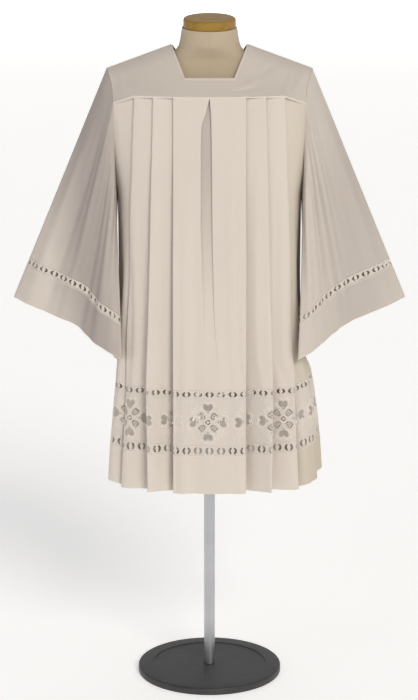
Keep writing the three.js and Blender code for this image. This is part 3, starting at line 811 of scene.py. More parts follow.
def cut_piece(cloth, holes, nets, thickness):
    """A band of lace: the cloth cut by holes, with nets as its second finish.

    Outlines are flat places, across from the middle and down from the upper edge."""
    places, edges = [], []

    def chain(new, closed):
        start = len(places)
        places.extend(Vector(place) for place in new)
        edges.extend((start + i, start + i + 1) for i in range(len(new) - 1))
        if closed:
            edges.append((start + len(new) - 1, start))

    for s in cloth.guide:
        chain([(s, t) for t in cloth.down], False)
    for t in (cloth.down[0], cloth.down[-1]):
        chain([(s, t) for s in cloth.guide], False)
    for outline in holes + nets:
        chain(outline, True)
    flat, _, faces, *_ = delaunay_2d_cdt(places, edges, [], 0, 1e-4)
    buckets = {}
    for finish, outlines in ((None, holes), (1, nets)):
        for outline in outlines:
            low = int(min(place[0] for place in outline) // BUCKET)
            high = int(max(place[0] for place in outline) // BUCKET)
            for bucket in range(low, high + 1):
                buckets.setdefault(bucket, []).append((finish, outline))
    kept, finishes = [], []
    for face in faces:
        a, b, c = (flat[i] for i in face)
        middle = (a + b + c) / 3
        area = (b.x - a.x) * (c.y - a.y) - (b.y - a.y) * (c.x - a.x)
        if abs(area) < 1e-5:
            continue
        finish = 0
        for kind, outline in buckets.get(int(middle.x // BUCKET), ()):
            if inside(outline, middle.x, middle.y):
                finish = kind
                break
        if finish is None:
            continue
        kept.append(list(face) if area < 0 else list(face[::-1]))
        finishes.append(finish)

    def spot_of(i):
        point, normal = cloth.place(flat[i].x, flat[i].y)
        return point, normal, (flat[i].x, -flat[i].y)

    return wall_piece(spot_of, kept, thickness, finishes)


def lay_cord(piece, cloth, flats, width, height, finish, lift, closed=False):
    """A raised thread along flat places of a cloth."""
    spots = [cloth.place(s, t) for s, t in flats]
    places = [point + normal * lift for point, normal in spots]
    flats = [(s, -t) for s, t in flats]
    piece.add_cord(places, [normal for _, normal in spots], flats, width, height, closed, finish)


def edge_cord(piece, cloth, down, width, height, finish, lift):
    """A sewn ridge that runs along the whole cloth at one height."""
    lay_cord(piece, cloth, [(s, down) for s in cloth.guide[1:-1]], width, height, finish, lift)


def sew_edges(piece, cloth, insets, width, height, finish, lift):
    """A sewn ridge along the upper and one along the lower edge, a little way in."""
    edge_cord(piece, cloth, insets[0], width, height, finish, lift)
    edge_cord(piece, cloth, cloth.down[-1] - insets[1], width, height, finish, lift)


def column_cord(piece, cloth, column, width, height, finish):
    """A pressed edge that runs down one column of the cloth."""
    place = cloth.width // 2 + column
    places = [row[place] for row in cloth.rows]
    normals = [row[place] for row in cloth.normals]
    flats = [(row[place], -t) for row, t in zip(cloth.across, cloth.down)]
    piece.add_cord(places, normals, flats, width, height, False, finish)


# ---------------------------------------------------------------- patterns of the lace
FLOWER_PITCH = 25.5  # one spoked disc of an insertion
MOTIF_PITCH = 103  # one motif of the wide band
# One opening beside the middle ring, turned round it four times: its outer and inner corners.
WINDOW = [(24.3, 12.3), (13.4, 24.3), (3.4, 10.5), (10.5, 3.4)]
WINDOW_PANE = 0.6  # the netted pane inside, as a share of the window
WINDOW_BAR = 0.07  # bars at the corners hold the pane, as shares of each side
HEART_POINT = 18.5  # from the middle of the motif to the point of a heart
HEART_LENGTH = 22.5
HEART_HALF = 11.2
HEART_MIDDLE = HEART_POINT + HEART_LENGTH * 0.6
RING_GAP = (2.9, 5.6)  # the round opening about the middle dot
PETAL_STEPS = 14
END_MARGIN = 1.5  # lace left at the two ends of a band
CRESCENT = (9.5, 4.1)  # from the middle of a disc to the outer and inner side of an opening
CRESCENT_TURN = 66  # degrees up and down from its middle
DISC_MARGIN = 2.3  # lace left above and below a disc


def quarter_turns(outlines):
    """The outlines turned to all four sides of the motif."""
    turned = []
    for outline in outlines:
        for _ in range(4):
            turned.append(outline)
            outline = [(-t, s) for s, t in outline]
    return turned


def shrunk(outline, share):
    s = sum(place[0] for place in outline) / len(outline)
    t = sum(place[1] for place in outline) / len(outline)
    return [(mix(s, a, share), mix(t, b, share)) for a, b in outline]


def window_gaps():
    """Four narrow openings between a window's edge and its pane."""
    pane = shrunk(WINDOW, WINDOW_PANE)
    gaps = []
    for i in range(4):
        j = (i + 1) % 4
        corners = []
        for outline, shares in ((WINDOW, (WINDOW_BAR, 1 - WINDOW_BAR)), (pane, (0.9, 0.1))):
            for share in shares:
                corners.append(tuple(mix(a, b, share) for a, b in zip(outline[i], outline[j])))
        gaps.append(corners)
    return gaps


def ring_gaps():
    """The round opening about the dot, held by three bars."""
    inner, outer = RING_GAP
    gaps = []
    for k in range(3):
        turns = [math.radians(120 * k + turn) for turn in spread(11, 109, 7)]
        arc = [(outer * math.cos(turn), outer * math.sin(turn)) for turn in turns]
        back = [(inner * math.cos(turn), inner * math.sin(turn)) for turn in turns[::-1]]
        gaps.append(arc + back)
    return gaps


def heart(grow=0.0, count=26):
    """A heart that points to the middle of the motif, grown outwards all round."""
    outline = []
    for turn in [2 * math.pi * (i + 0.5) / count for i in range(count)]:
        s = HEART_HALF * math.sin(turn) ** 3
        rise = (13 * math.cos(turn) - 5 * math.cos(2 * turn) - 2 * math.cos(3 * turn)) / 29
        rise = rise - math.cos(4 * turn) / 29
        outline.append((s, HEART_POINT + HEART_LENGTH * (rise + 0.586)))
    if not grow:
        return outline
    grown = []
    for s, t in outline:
        share = 1 + grow / math.hypot(s, t - HEART_MIDDLE)
        grown.append((s * share, HEART_MIDDLE + (t - HEART_MIDDLE) * share))
    return grown


def heart_arc(grow, reach):
    """The raised line round a heart's lobes, open towards the middle of the motif."""
    kept = [place for place in heart(grow, 44) if place[1] > HEART_MIDDLE - reach]
    start = max(range(len(kept)), key=lambda i: -kept[i][0] if kept[i][1] < HEART_MIDDLE else -99)
    return kept[start:] + kept[:start]


def circle(s, t, radius, count=16):
    turns = [2 * math.pi * i / count for i in range(count)]
    return [(s + radius * math.cos(turn), t + radius * math.sin(turn)) for turn in turns]


def petal(turn, start, stop, half):
    """A slim raised loop that points away from the middle of the motif."""
    outline = []
    for i in range(PETAL_STEPS):
        angle = 2 * math.pi * i / PETAL_STEPS
        along = mix(start, stop, (1 - math.cos(angle)) / 2)
        share = (along - start) / (stop - start)
        across = half * math.sin(angle) * (0.35 + 0.65 * share)
        outline.append(
            (
                along * math.cos(turn) - across * math.sin(turn),
                along * math.sin(turn) + across * math.cos(turn),
            )
        )
    return outline


def motif_holes():
    return quarter_turns(window_gaps()) + ring_gaps()


def motif_nets():
    return quarter_turns([shrunk(WINDOW, 0.34), heart()])


def motif_cords():
    """Raised threads of a motif: outline, width, height and whether it is a closed loop."""
    cords = [(circle(0, 0, 7.3, 20), 2.2, 0.9, True), (circle(0, 0, 1.5, 10), 2.2, 0.9, True)]
    for outline in quarter_turns([heart(1.2, 30)]):
        cords.append((outline, 1.7, 0.9, True))
    for outline in quarter_turns([heart_arc(5.2, 9)]):
        cords.append((outline, 1.9, 0.9, False))
    for outline in quarter_turns([WINDOW]):
        cords.append((outline_along(outline, 3), 1.3, 0.6, True))
    fan = [petal(math.radians(45 + 11.5 * k), 31 - abs(k), 45 - 1.5 * abs(k), 2.6) for k in range(-2, 3)]
    for outline in quarter_turns(fan):
        cords.append((outline, 1.5, 0.8, True))
    return cords


def outline_along(outline, count):
    """The same outline with more points along its sides."""
    points = []
    for (s1, t1), (s2, t2) in zip(outline, outline[1:] + outline[:1]):
        points += [(mix(s1, s2, i / count), mix(t1, t2, i / count)) for i in range(count)]
    return points


def moved(outline, s, t):
    return [(a + s, b + t) for a, b in outline]


def disc_holes(height):
    """The openings round one spoked disc: a wide crescent at each side."""
    half = height / 2 - DISC_MARGIN
    turns = [math.radians(turn) for turn in spread(-CRESCENT_TURN, CRESCENT_TURN, 9)]
    wide, narrow = CRESCENT
    holes = []
    for side in (-1, 1):
        outer = [(side * wide * math.cos(turn), half * math.sin(turn)) for turn in turns]
        inner = [(side * narrow * math.cos(turn), 0.8 * half * math.sin(turn)) for turn in turns]
        holes.append(outer + inner[::-1])
    return holes


def insertion_holes(cloth):
    """Holes of all the discs along an insertion."""
    height = cloth.down[-1]
    first, last = math.ceil(cloth.guide[0] / FLOWER_PITCH), math.floor(cloth.guide[-1] / FLOWER_PITCH)
    holes = []
    for k in range(first, last + 1):
        for outline in disc_holes(height):
            holes.append(moved(outline, k * FLOWER_PITCH, height / 2))
    low, high = cloth.guide[0] + END_MARGIN, cloth.guide[-1] - END_MARGIN
    return [hole for hole in holes if all(low < s < high for s, _ in hole)]


def band_motifs(cloth, motifs):
    """Holes, nets and cords of all the motifs of the wide band, at their flat middles."""
    height = cloth.down[-1] / 2
    low, high = cloth.guide[0] + END_MARGIN, cloth.guide[-1] - END_MARGIN
    holes, nets, cords = [], [], []
    for motif in motifs:
        s = motif["middle"]
        start, stop = max(low, motif["start"]), min(high, motif["stop"])
        here = [
            [(moved(outline, s, height),) for outline in motif_holes()],
            [(moved(outline, s, height),) for outline in motif_nets()],
            [(moved(cord[0], s, height), *cord[1:]) for cord in motif_cords()],
        ]
        for kept, found in zip((holes, nets, cords), here):
            kept += [one for one in found if all(start < a < stop for a, _ in one[0])]
    return [hole for hole, in holes], [net for net, in nets], cords


# ---------------------------------------------------------------- materials
class Value:
    """One socket of a material's nodes, for sums written as Python expressions."""

    def __init__(self, paint, socket):
        self.paint = paint
        self.socket = socket

    def _sum(self, operation, *values, clamped=False):
        node = self.paint.tree.nodes.new("ShaderNodeMath")
        node.operation = operation
        node.use_clamp = clamped
        for slot, value in zip(node.inputs, values):
            self.paint.feed(slot, value)
        return Value(self.paint, node.outputs[0])

    def __add__(self, other):
        return self._sum("ADD", self, other)

    def __radd__(self, other):
        return self._sum("ADD", other, self)

    def __sub__(self, other):
        return self._sum("SUBTRACT", self, other)

    def __rsub__(self, other):
        return self._sum("SUBTRACT", other, self)

    def __mul__(self, other):
        return self._sum("MULTIPLY", self, other)

    def __rmul__(self, other):
        return self._sum("MULTIPLY", other, self)

    def __truediv__(self, other):
        return self._sum("DIVIDE", self, other)

    def __pow__(self, other):
        return self._sum("POWER", self, other)

    def __gt__(self, other):
        return self._sum("GREATER_THAN", self, other)

    def __lt__(self, other):
        return self._sum("LESS_THAN", self, other)

    def sine(self):
        return self._sum("SINE", self)

    def size(self):
        return self._sum("ABSOLUTE", self)

    def fraction(self):
        return self._sum("FRACT", self)

    def largest(self, other):
        return self._sum("MAXIMUM", self, other)

    def clamped(self):
        return self._sum("ADD", self, 0.0, clamped=True)


class Paint:
    """A procedural material under construction."""

    def __init__(self, name):
        self.material = bpy.data.materials.new(name)
        self.material.use_nodes = True
        self.tree = self.material.node_tree
        self.tree.nodes.clear()
        self.output = self.tree.nodes.new("ShaderNodeOutputMaterial")

    def feed(self, slot, value):
        if isinstance(value, Value):
            self.tree.links.new(value.socket, slot)
        else:
            slot.default_value = value

    def node(self, kind, settings=None, sockets=None, output=0):
        """Any node, by its type, its settings and the values of its sockets."""
        node = self.tree.nodes.new(kind)
        for name, value in (settings or {}).items():
            if name == "stops":
                stops = node.color_ramp.elements
                for index, (place, colour) in enumerate(value):
                    stop = stops[index] if index < 2 else stops.new(place)
                    stop.position = place
                    stop.color = colour
            else:
                setattr(node, name, value)
        for name, value in (sockets or {}).items():
            self.feed(node.inputs[name], value)
        return Value(self, node.outputs[output])

    def parts(self, vector):
        node = self.tree.nodes.new("ShaderNodeSeparateXYZ")
        self.feed(node.inputs[0], vector)
        return [Value(self, output) for output in node.outputs]

    def flat(self):
        """Across and down over a cloth, in metres."""
        place = self.node("ShaderNodeUVMap", {"uv_map": "flat"})
        return self.parts(place)[:2]

    def space(self):
        return self.node("ShaderNodeTexCoord", output="Object")

    def noise(self, scale, detail=2.0, rough=0.5, vector=None, stretch=None):
        vector = vector or self.space()
        if stretch:
            vector = self.node("ShaderNodeMapping", sockets={"Vector": vector, "Scale": stretch})
        sockets = {"Vector": vector, "Scale": scale, "Detail": detail, "Roughness": rough}
        return self.node("ShaderNodeTexNoise", sockets=sockets)

    def mixed(self, share, start, end):
        """A colour between two colours."""
        node = self.tree.nodes.new("ShaderNodeMix")
        node.data_type = "RGBA"
        self.feed(node.inputs["Factor"], share)
        for name, colour in (("A", start), ("B", end)):
            slot = next(s for s in node.inputs if s.name == name and s.type == "RGBA")
            self.feed(slot, colour)
        return Value(self, next(s for s in node.outputs if s.type == "RGBA"))

    def bumped(self, height, distance, strength=1.0):
        sockets = {"Height": height, "Distance": distance, "Strength": strength}
        return self.node("ShaderNodeBump", sockets=sockets)

    def surface(self, **sockets):
        """The finished surface, by the names of its sockets with _ for a space."""
        names = {name.replace("_", " "): value for name, value in sockets.items()}
        shader = self.node("ShaderNodeBsdfPrincipled", sockets=names)
        self.feed(self.output.inputs["Surface"], shader)
        return self.material


# Distances between threads, in metres.
LAWN_PITCH = 0.0011
LACE_PITCH = 0.0013
NET_PITCH = 0.0024
THREAD_PITCH = 0.0016
LINEN_PITCH = 0.0019


def colour(red, green, blue):
    return (red, green, blue, 1.0)


def ripple(place, pitch):
    """A wave over a place, once in every pitch, in metres."""
    return (place * (2 * math.pi / pitch)).sine()


def weave_height(paint, across, down, pitch):
    """The relief of a plain weave: threads over and under, at a pitch in metres."""
    warp, weft = ripple(across, pitch), ripple(down, pitch)
    uneven = paint.noise(2.4, 2, 0.6, stretch=(60, 60, 14))
    return warp * weft * 0.5 + warp * 0.2 + weft * 0.2 + uneven * 0.5


def lawn_surface(paint, tint):
    """Fine plain weave with slubs and a soft rumple, in the given tint."""
    across, down = paint.flat()
    weave = weave_height(paint, across, down, LAWN_PITCH)
    slub = paint.noise(420, 2, 0.6, stretch=(1, 1, 0.08))
    rumple = paint.noise(34, 3, 0.5, stretch=(1, 1, 0.3))
    height = weave * 0.5 + slub * 0.6 + rumple * 3.0
    return paint.surface(
        Base_Color=tint,
        Roughness=0.78 + slub * 0.12,
        Normal=paint.bumped(height, 0.0005, 0.5),
        Sheen_Weight=0.12,
        Sheen_Roughness=0.4,
        Specular_IOR_Level=0.25,
    )


def lawn_tint(paint, light, dark):
    return paint.mixed(paint.noise(9, 3, 0.55, stretch=(1, 1, 0.35)), light, dark)


def lawn_material(settings):
    paint = Paint("fine_lawn")
    return lawn_surface(paint, lawn_tint(paint, settings.lawn_colour, settings.lawn_shade))


def thin_lawn_material(settings):
    paint = Paint("thin_lawn")
    return lawn_surface(paint, lawn_tint(paint, settings.thin_colour, settings.thin_shade))


def sleeve_lawn_material(settings):
    """Thin lawn, darker along the middle of each sleeve, most of all at the left."""
    paint = Paint("sleeve_lawn")
    across = paint.parts(paint.space())[0]
    wander = paint.noise(5, 2, 0.5)
    beside = (across.size() - across * 0.125 - 0.2925 + (wander - 0.5) * 0.05).size()
    share = (1.25 - beside * 11.0).clamped() * (0.75 - across * 0.8)
    tint = lawn_tint(paint, settings.thin_colour, settings.thin_shade)
    return lawn_surface(paint, paint.mixed(share, tint, settings.sleeve_tone_and_pleat_shade))


def fold_shade_lawn_material(settings):
    """Lawn in the shade of a fold: behind the middle pleat, high up, and along the right side."""
    paint = Paint("fold_shade_lawn")
    across, _, up = paint.parts(paint.space())
    # Painted shade: darker behind the middle pleat, high up, mixed towards the sleeve's darker tone.
    behind = (1.5 - across.size() * 20.0).clamped() * ((up - 0.9) * 3.5).clamped() * 0.55
    # Painted shade: darker along the right side, deep in its fold.
    beside = (across * 6.0 - 0.85).clamped() * 0.9
    tint = lawn_tint(paint, settings.lawn_colour, settings.lawn_shade)
    shaded = paint.mixed(behind, tint, settings.sleeve_tone_and_pleat_shade)
    return lawn_surface(paint, paint.mixed(beside, shaded, settings.fold_shade_colour))


def lace_material(settings):
    paint = Paint("openwork_lace")
    across, down = paint.flat()
    weave = weave_height(paint, across, down, LACE_PITCH)
    tint = paint.mixed(paint.noise(14, 3, 0.6), settings.lace_colour, settings.lace_shade)
    ribs = ripple(down, NET_PITCH)
    return paint.surface(
        Base_Color=tint,
        Roughness=0.86 + weave * 0.04,
        Normal=paint.bumped(weave + ribs * 0.4, 0.0004, 0.5),
        Sheen_Weight=0.12,
        Sheen_Roughness=0.5,
        Specular_IOR_Level=0.2,
    )


def net_material(settings):
    paint = Paint("lace_net")
    across, down = paint.flat()
    slanting = [(across + down) / NET_PITCH, (across - down) / NET_PITCH]
    threads = [(line.fraction() - 0.5).size() * 2 for line in slanting]
    thread = threads[0].largest(threads[1])
    return paint.surface(
        Base_Color=paint.mixed(paint.noise(60, 2), settings.lace_colour, settings.lace_shade),
        Roughness=0.85 + thread * 0.05,
        Alpha=thread > settings.net_opening,
        Normal=paint.bumped(thread, 0.0006, 0.6),
        Specular_IOR_Level=0.2,
    )


def thread_material(settings):
    paint = Paint("white_thread")
    across, down = paint.flat()
    twist = ripple(across + down, THREAD_PITCH)
    return paint.surface(
        Base_Color=paint.mixed(twist * 0.5 + 0.5, settings.thread_colour, settings.lawn_colour),
        Roughness=0.62 + twist * 0.06,
        Normal=paint.bumped(twist, 0.0003, 0.5),
        Sheen_Weight=0.2,
        Specular_IOR_Level=0.35,
    )


def linen_material(settings):
    paint = Paint("cover_linen")
    across, around, up = paint.parts(paint.space())
    turn = paint.node("ShaderNodeMath", {"operation": "ARCTAN2"}, {0: around, 1: across})
    warp = (turn * 240).sine()
    weft = ripple(up, LINEN_PITCH)
    slub = paint.noise(180, 3, 0.65, stretch=(1, 1, 4))
    stain = paint.noise(7, 4, 0.55)
    seam = 1 - (across.size() / 0.0012).clamped()
    tint = paint.mixed(stain * 0.7 + slub * 0.3, settings.linen_colour, settings.linen_shade)
    return paint.surface(
        Base_Color=tint,
        Roughness=0.84 + slub * 0.1,
        Normal=paint.bumped(warp * 0.4 + weft * 0.4 + slub - seam * 3, 0.0006, 0.6),
        Sheen_Weight=0.15,
        Specular_IOR_Level=0.25,
    )


def wood_material(settings):
    paint = Paint("turned_wood")
    wobble = paint.noise(6, 3, 0.5)
    place = paint.node(
        "ShaderNodeVectorMath", {"operation": "ADD"}, {0: paint.space(), 1: (0.4, 0.0, 0.0)}
    )
    grain = paint.noise(12, 6, 0.6, vector=place, stretch=(0.7, 9, 9))
    pores = paint.noise(60, 3, 0.7, stretch=(1.0, 14, 14))
    share = (grain * 1.3 - 0.2 + wobble * 0.3).clamped()
    tint = paint.mixed(share, settings.wood_colour, settings.wood_shade)
    return paint.surface(
        Base_Color=tint,
        Roughness=0.34 + pores * 0.16,
        Normal=paint.bumped(pores + grain * 0.6, 0.0004, 0.35),
        Coat_Weight=0.06,
        Coat_Roughness=0.25,
        Specular_IOR_Level=0.2,
    )


def steel_material(settings):
    paint = Paint("pole_steel")
    brushed = paint.noise(90, 4, 0.7, stretch=(6, 6, 0.15))
    smudge = paint.noise(11, 3, 0.5)
    tint = paint.mixed(smudge, settings.steel_colour, colour(0.42, 0.43, 0.45))
    return paint.surface(
        Base_Color=tint,
        Metallic=1.0,
        Roughness=0.22 + brushed * 0.16 + smudge * 0.1,
        Normal=paint.bumped(brushed, 0.0002, 0.3),
    )


def paint_material(settings):
    paint = Paint("base_paint")
    grit = paint.noise(900, 3, 0.6)
    worn = paint.noise(24, 4, 0.6)
    tint = paint.mixed(worn, settings.paint_colour, colour(0.055, 0.054, 0.056))
    return paint.surface(
        Base_Color=tint,
        Roughness=0.42 + grit * 0.16,
        Normal=paint.bumped(grit, 0.0003, 0.5),
        Specular_IOR_Level=0.4,
    )


# ---------------------------------------------------------------- sizes and colours to change
def colour_setting(name, description, *default):
    return bpy.props.FloatVectorProperty(
        name=name, description=description, default=default, size=4, min=0, max=1, subtype="COLOR"
    )


def length_setting(name, description, default):
    return bpy.props.FloatProperty(
        name=name, description=description, default=default, min=0, unit="LENGTH", subtype="DISTANCE"
    )


def strength_setting(name, description, default):
    return bpy.props.FloatProperty(name=name, description=description, default=default, min=0)


class ClothSettings(bpy.types.PropertyGroup):
    lawn_thickness: length_setting("Lawn", "Thickness of the lawn", 0.0009)
    lace_thickness: length_setting("Lace", "Thickness of the lace bands", 0.0009)
    hem_thickness: length_setting("Hem", "Thickness of the doubled hems", 0.0013)
    trim_thickness: length_setting("Trim", "Thickness of the neck binding and the yoke's band", 0.0015)
    net_opening: bpy.props.FloatProperty(
        name="Net opening", description="Open share between two threads of the net", default=0.8
    )
    lawn_colour: colour_setting("Lawn", "Colour of the pleated lawn", 0.71, 0.645, 0.58, 1)
    lawn_shade: colour_setting("Lawn shade", "Second tone of the lawn", 0.66, 0.595, 0.53, 1)
    thin_colour: colour_setting("Thin lawn", "Lawn where it is a single layer", 0.66, 0.60, 0.54, 1)
    thin_shade: colour_setting("Thin lawn shade", "Its second tone", 0.61, 0.55, 0.49, 1)
    # The sleeves' darker tone, also used as painted shade behind the middle pleat.
    sleeve_tone_and_pleat_shade: colour_setting("Sleeve", "Single lawn in the middle of a sleeve", 0.40, 0.355, 0.33, 1)
    # Painted shade deep in the fold along the right side.
    fold_shade_colour: colour_setting("Fold", "Lawn deep in a fold of the right side", 0.50, 0.43, 0.30, 1)
    lace_colour: colour_setting("Lace", "Colour of the lace", 0.69, 0.635, 0.575, 1)
    lace_shade: colour_setting("Lace shade", "Second tone of the lace", 0.64, 0.58, 0.515, 1)
    thread_colour: colour_setting("Thread", "Colour of seams and raised threads", 0.86, 0.81, 0.73, 1)


class StandSettings(bpy.types.PropertyGroup):
    pole_radius: length_setting("Pole", "Radius of the pole", 0.0125)
    base_radius: length_setting("Base", "Radius of the base plate", 0.165)
    base_height: length_setting("Base height", "Height of the base plate", 0.016)
    cap_radius: length_setting("Cap", "Radius of the wooden neck cap", 0.0575)
    cap_height: length_setting("Cap height", "Height of the wooden neck cap", 0.021)
    linen_colour: colour_setting("Linen", "Cover of the form", 0.58, 0.48, 0.35, 1)
    linen_shade: colour_setting("Linen shade", "Second tone of the cover", 0.52, 0.425, 0.30, 1)
    wood_colour: colour_setting("Wood", "Light grain of the cap", 0.42, 0.27, 0.065, 1)
    wood_shade: colour_setting("Wood shade", "Dark grain of the cap", 0.24, 0.125, 0.012, 1)
    steel_colour: colour_setting("Steel", "Brushed steel of the pole", 0.60, 0.61, 0.63, 1)
    paint_colour: colour_setting("Paint", "Paint of the base", 0.025, 0.025, 0.027, 1)


class StageSettings(bpy.types.PropertyGroup):
    floor_colour: colour_setting("Floor", "Colour of the floor", 0.9, 0.9, 0.9, 1)
    key_strength: strength_setting("Key light", "Strength of the main light", 1.5)
    fill_strength: strength_setting("Fill light", "Strength of the light opposite", 0.25)
    back_strength: strength_setting("Back light", "Strength of the light behind", 0.4)
    sky_strength: strength_setting("Surroundings", "Strength of the white surroundings", 0.22)


# ---------------------------------------------------------------- cloth pieces
def finished(name):
    """A material that is made once and shared by all its pieces."""
    if name not in bpy.data.materials:
        cloth, stand = bpy.context.scene.surplice_cloth, bpy.context.scene.surplice_stand
        makers = {
            "fine_lawn": (lawn_material, cloth),
            "thin_lawn": (thin_lawn_material, cloth),
            "fold_shade_lawn": (fold_shade_lawn_material, cloth),
            "sleeve_lawn": (sleeve_lawn_material, cloth),
            "openwork_lace": (lace_material, cloth),
            "lace_net": (net_material, cloth),
            "white_thread": (thread_material, cloth),
            "cover_linen": (linen_material, stand),
            "turned_wood": (wood_material, stand),
            "pole_steel": (steel_material, stand),
            "base_paint": (paint_material, stand),
        }
        maker, settings = makers[name]
        maker(settings)
    return bpy.data.materials[name]


def declare(piece, nodes, area=None):
    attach(piece, "root")
    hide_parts(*nodes)
    return piece


LAWN_FINISHES = ("fine_lawn", "white_thread", "fold_shade_lawn")
THIN_FINISHES = ("thin_lawn", "white_thread")
TAPE_FINISHES = ("white_thread", "white_thread")
SLEEVE_FINISHES = ("sleeve_lawn", "white_thread")
LACE_FINISHES = ("openwork_lace", "lace_net", "white_thread")


def materials(names):
    return [finished(name) for name in names]


def thickness_of(kind):
    return getattr(bpy.context.scene.surplice_cloth, f"{kind}_thickness") / MM


UNDER_BAND = 3  # how far a panel reaches up behind the seam band
SLOT_END = 880  # height down to which the middle pleat has the finish with painted shade
SLOT_COLUMNS = 7  # of each half of a panel, behind the middle pleat
SIDE_COLUMNS = SIDE_STEPS - 1  # of each half, on the plain side


def panel_cloth(heights, face, with_slot, steps=1.0):
    return Cloth([panel_row(z, face, with_slot, steps) for z in heights])


def band_cloth(band, face, count):
    top, bottom = band
    return panel_cloth(spread(top - SEAM_GAP / 2, bottom + SEAM_GAP / 2, count), face, False, 0.7)


# Motifs across each wide band, from its middle. Where two overlap inside a hidden fold, both are
# kept only between start and stop.
MOTIFS = {
    "front": table(
        "middle start stop",
        [
            [-564, -600, -510],
            [-461, -600, 0],
            [-357, -600, 0],
            [-255, -600, 0],
            [-152, -600, -131],
            [-104, -80, 0],
            [-3, -80, 80],
            [98, 0, 80],
            [136, 131, 600],
            [238, 0, 600],
            [341, 0, 600],
            [442, 0, 600],
            [540, 0, 600],
        ],
    ),
    "back": [{"middle": MOTIF_PITCH * k, "start": -600, "stop": 600} for k in range(-5, 6)],
}


def make_yoke(name):
    shape = YOKES[name]
    neck_share = shape["neck_drop"] / (NECK_TOP - YOKE_BOTTOM)
    beside_neck = OVER_RIDGE + spread(shape["first_share"], neck_share, shape["neck_rows"])
    below_neck = spread(neck_share, 1, shape["rows_below"])[1:]
    rows = [yoke_row(shape, share) for share in beside_neck + below_neck + [UNDER_SEAM]]
    for point in rows[0]:
        point.y += shape["face"] * SEAM_GAP / 2
    cloth = Cloth(rows)

    def in_neck(u, v):
        return v < len(beside_neck) - 1 and STRAP_STEPS - 1 <= u < cloth.width - STRAP_STEPS

    piece = grid_piece(cloth, thickness_of("lawn"), in_neck)
    yoke = piece.finish(f"yoke_{name}_cloth", materials(THIN_FINISHES))
    return declare(yoke, [f"yoke_{name}"], shape["area"])


def seam_band_cloth(face):
    reaches = spread(0, TOP_ROW["crest3"], 60) + spread(TOP_ROW["crest3"], ARMHOLE_BOTTOM, 18)[1:]
    rows = []
    for level in spread(YOKE_SEAM + SEAM_BAND / 2, YOKE_SEAM - SEAM_BAND / 2, 5):
        halves = []
        for side in (face, -face):
            half = []
            for x in reaches:
                point, normal, _ = ring_point(TOP_ROW, face, side, angle_at(TOP_ROW, side, x), 0)
                pucker = 0.25 * math.sin(x * 0.9 + side) * math.sin(x * 0.37)
                half.append((point + normal * pucker).to_3d())
                half[-1].z = seam_height(x, level)
            halves.append(half)
        rows.append(halves[0][:0:-1] + halves[1])
    return Cloth(rows)


def make_seam_band(name):
    cloth = seam_band_cloth(YOKES[name]["face"])
    thickness = thickness_of("trim")
    piece = grid_piece(cloth, thickness)
    for down in (1.0, SEAM_BAND - 1.0):
        edge_cord(piece, cloth, down, 0.9, 0.5, 1, thickness / 2)
    band = piece.finish(f"yoke_seam_{name}_tape", materials(TAPE_FINISHES))
    flat = ((cloth.guide[-1] - cloth.guide[0]) * MM, 0.0125)
    return declare(band, [f"yoke_seam_{name}"])


def single(cloth, slot_end=0):
    """The finish of a panel's faces: 2, the lawn that carries painted shade of folds, where the cloth is
    single, or sunk in the middle pleat.
    """
    middle = cloth.width // 2

    def finish(u, v):
        away = abs(u - middle)
        return 2 if away > middle - SIDE_COLUMNS or (away < SLOT_COLUMNS and v < slot_end) else 0

    return finish


def press_crests(piece, cloth, with_slot, width, height):
    """Pressed edges down the crests of all the pleats."""
    for column in crest_columns(with_slot):
        column_cord(piece, cloth, column, width, height, 1)


def make_panel(name):
    heights = spread(PANEL_TOP, UPPER_INSERTION[0] + SEAM_GAP / 2, 92)
    heights.insert(0, PANEL_TOP + UNDER_BAND)
    cloth = panel_cloth(heights, YOKES[name]["face"], True)
    slot_end = sum(height > SLOT_END for height in heights)
    piece = grid_piece(cloth, thickness_of("lawn"), finish=single(cloth, slot_end))
    press_crests(piece, cloth, True, 1.5, 0.5)
    panel = piece.finish(f"{name}_panel_cloth", materials(LAWN_FINISHES))
    nodes = [f"{name}_panel_left", f"{name}_panel_right"]
    return declare(panel, nodes)


def hem_piece(cloth, finish=None):
    """A deep hem, sewn under its upper edge and along its lower one."""
    thickness = thickness_of("hem")
    piece = grid_piece(cloth, thickness, finish=finish)
    sew_edges(piece, cloth, (1.4, 0.6), 1.5, 0.6, 1, thickness / 2)
    return piece


def make_hem(name):
    heights = spread(HEM[0] - SEAM_GAP / 2, HEM[1], 15)
    cloth = panel_cloth(heights, YOKES[name]["face"], False)
    piece = hem_piece(cloth, single(cloth))
    press_crests(piece, cloth, False, 1.7, 0.6)
    hem = piece.finish(f"hem_band_{name}_cloth", materials(LAWN_FINISHES))
    return declare(hem, [f"hem_band_{name}"])


def insertion_piece(cloth):
    """A narrow lace of spoked discs, with a thread along both of its edges."""
    thickness = thickness_of("lace")
    piece = cut_piece(cloth, insertion_holes(cloth), [], thickness)
    sew_edges(piece, cloth, (0.9, 0.9), 1.3, 0.6, 2, thickness / 2)
    return piece


def make_insertion(name, level, band):
    piece = insertion_piece(band_cloth(band, YOKES[name]["face"], 5))
    node = f"insertion_{level}_{name}"
    insertion = piece.finish(f"{node}_cloth", materials(LACE_FINISHES))
    return declare(insertion, [node])


def make_lace_band(name):
    cloth = band_cloth(LACE_BAND, YOKES[name]["face"], 11)
    thickness = thickness_of("lace")
    holes, nets, cords = band_motifs(cloth, MOTIFS[name])
    piece = cut_piece(cloth, holes, nets, thickness)
    for outline, width, height, closed in cords:
        lay_cord(piece, cloth, outline, width, height, 2, thickness / 2, closed)
    band = piece.finish(f"lace_band_{name}_cloth", materials(LACE_FINISHES))
    return declare(band, [f"lace_band_{name}"])


def neck_point(shape, x, fall):
    share = fall / (NECK_TOP - YOKE_BOTTOM)
    return yoke_point(shape["face"], math.copysign(1, x), abs(x), 0, abs(x), share)


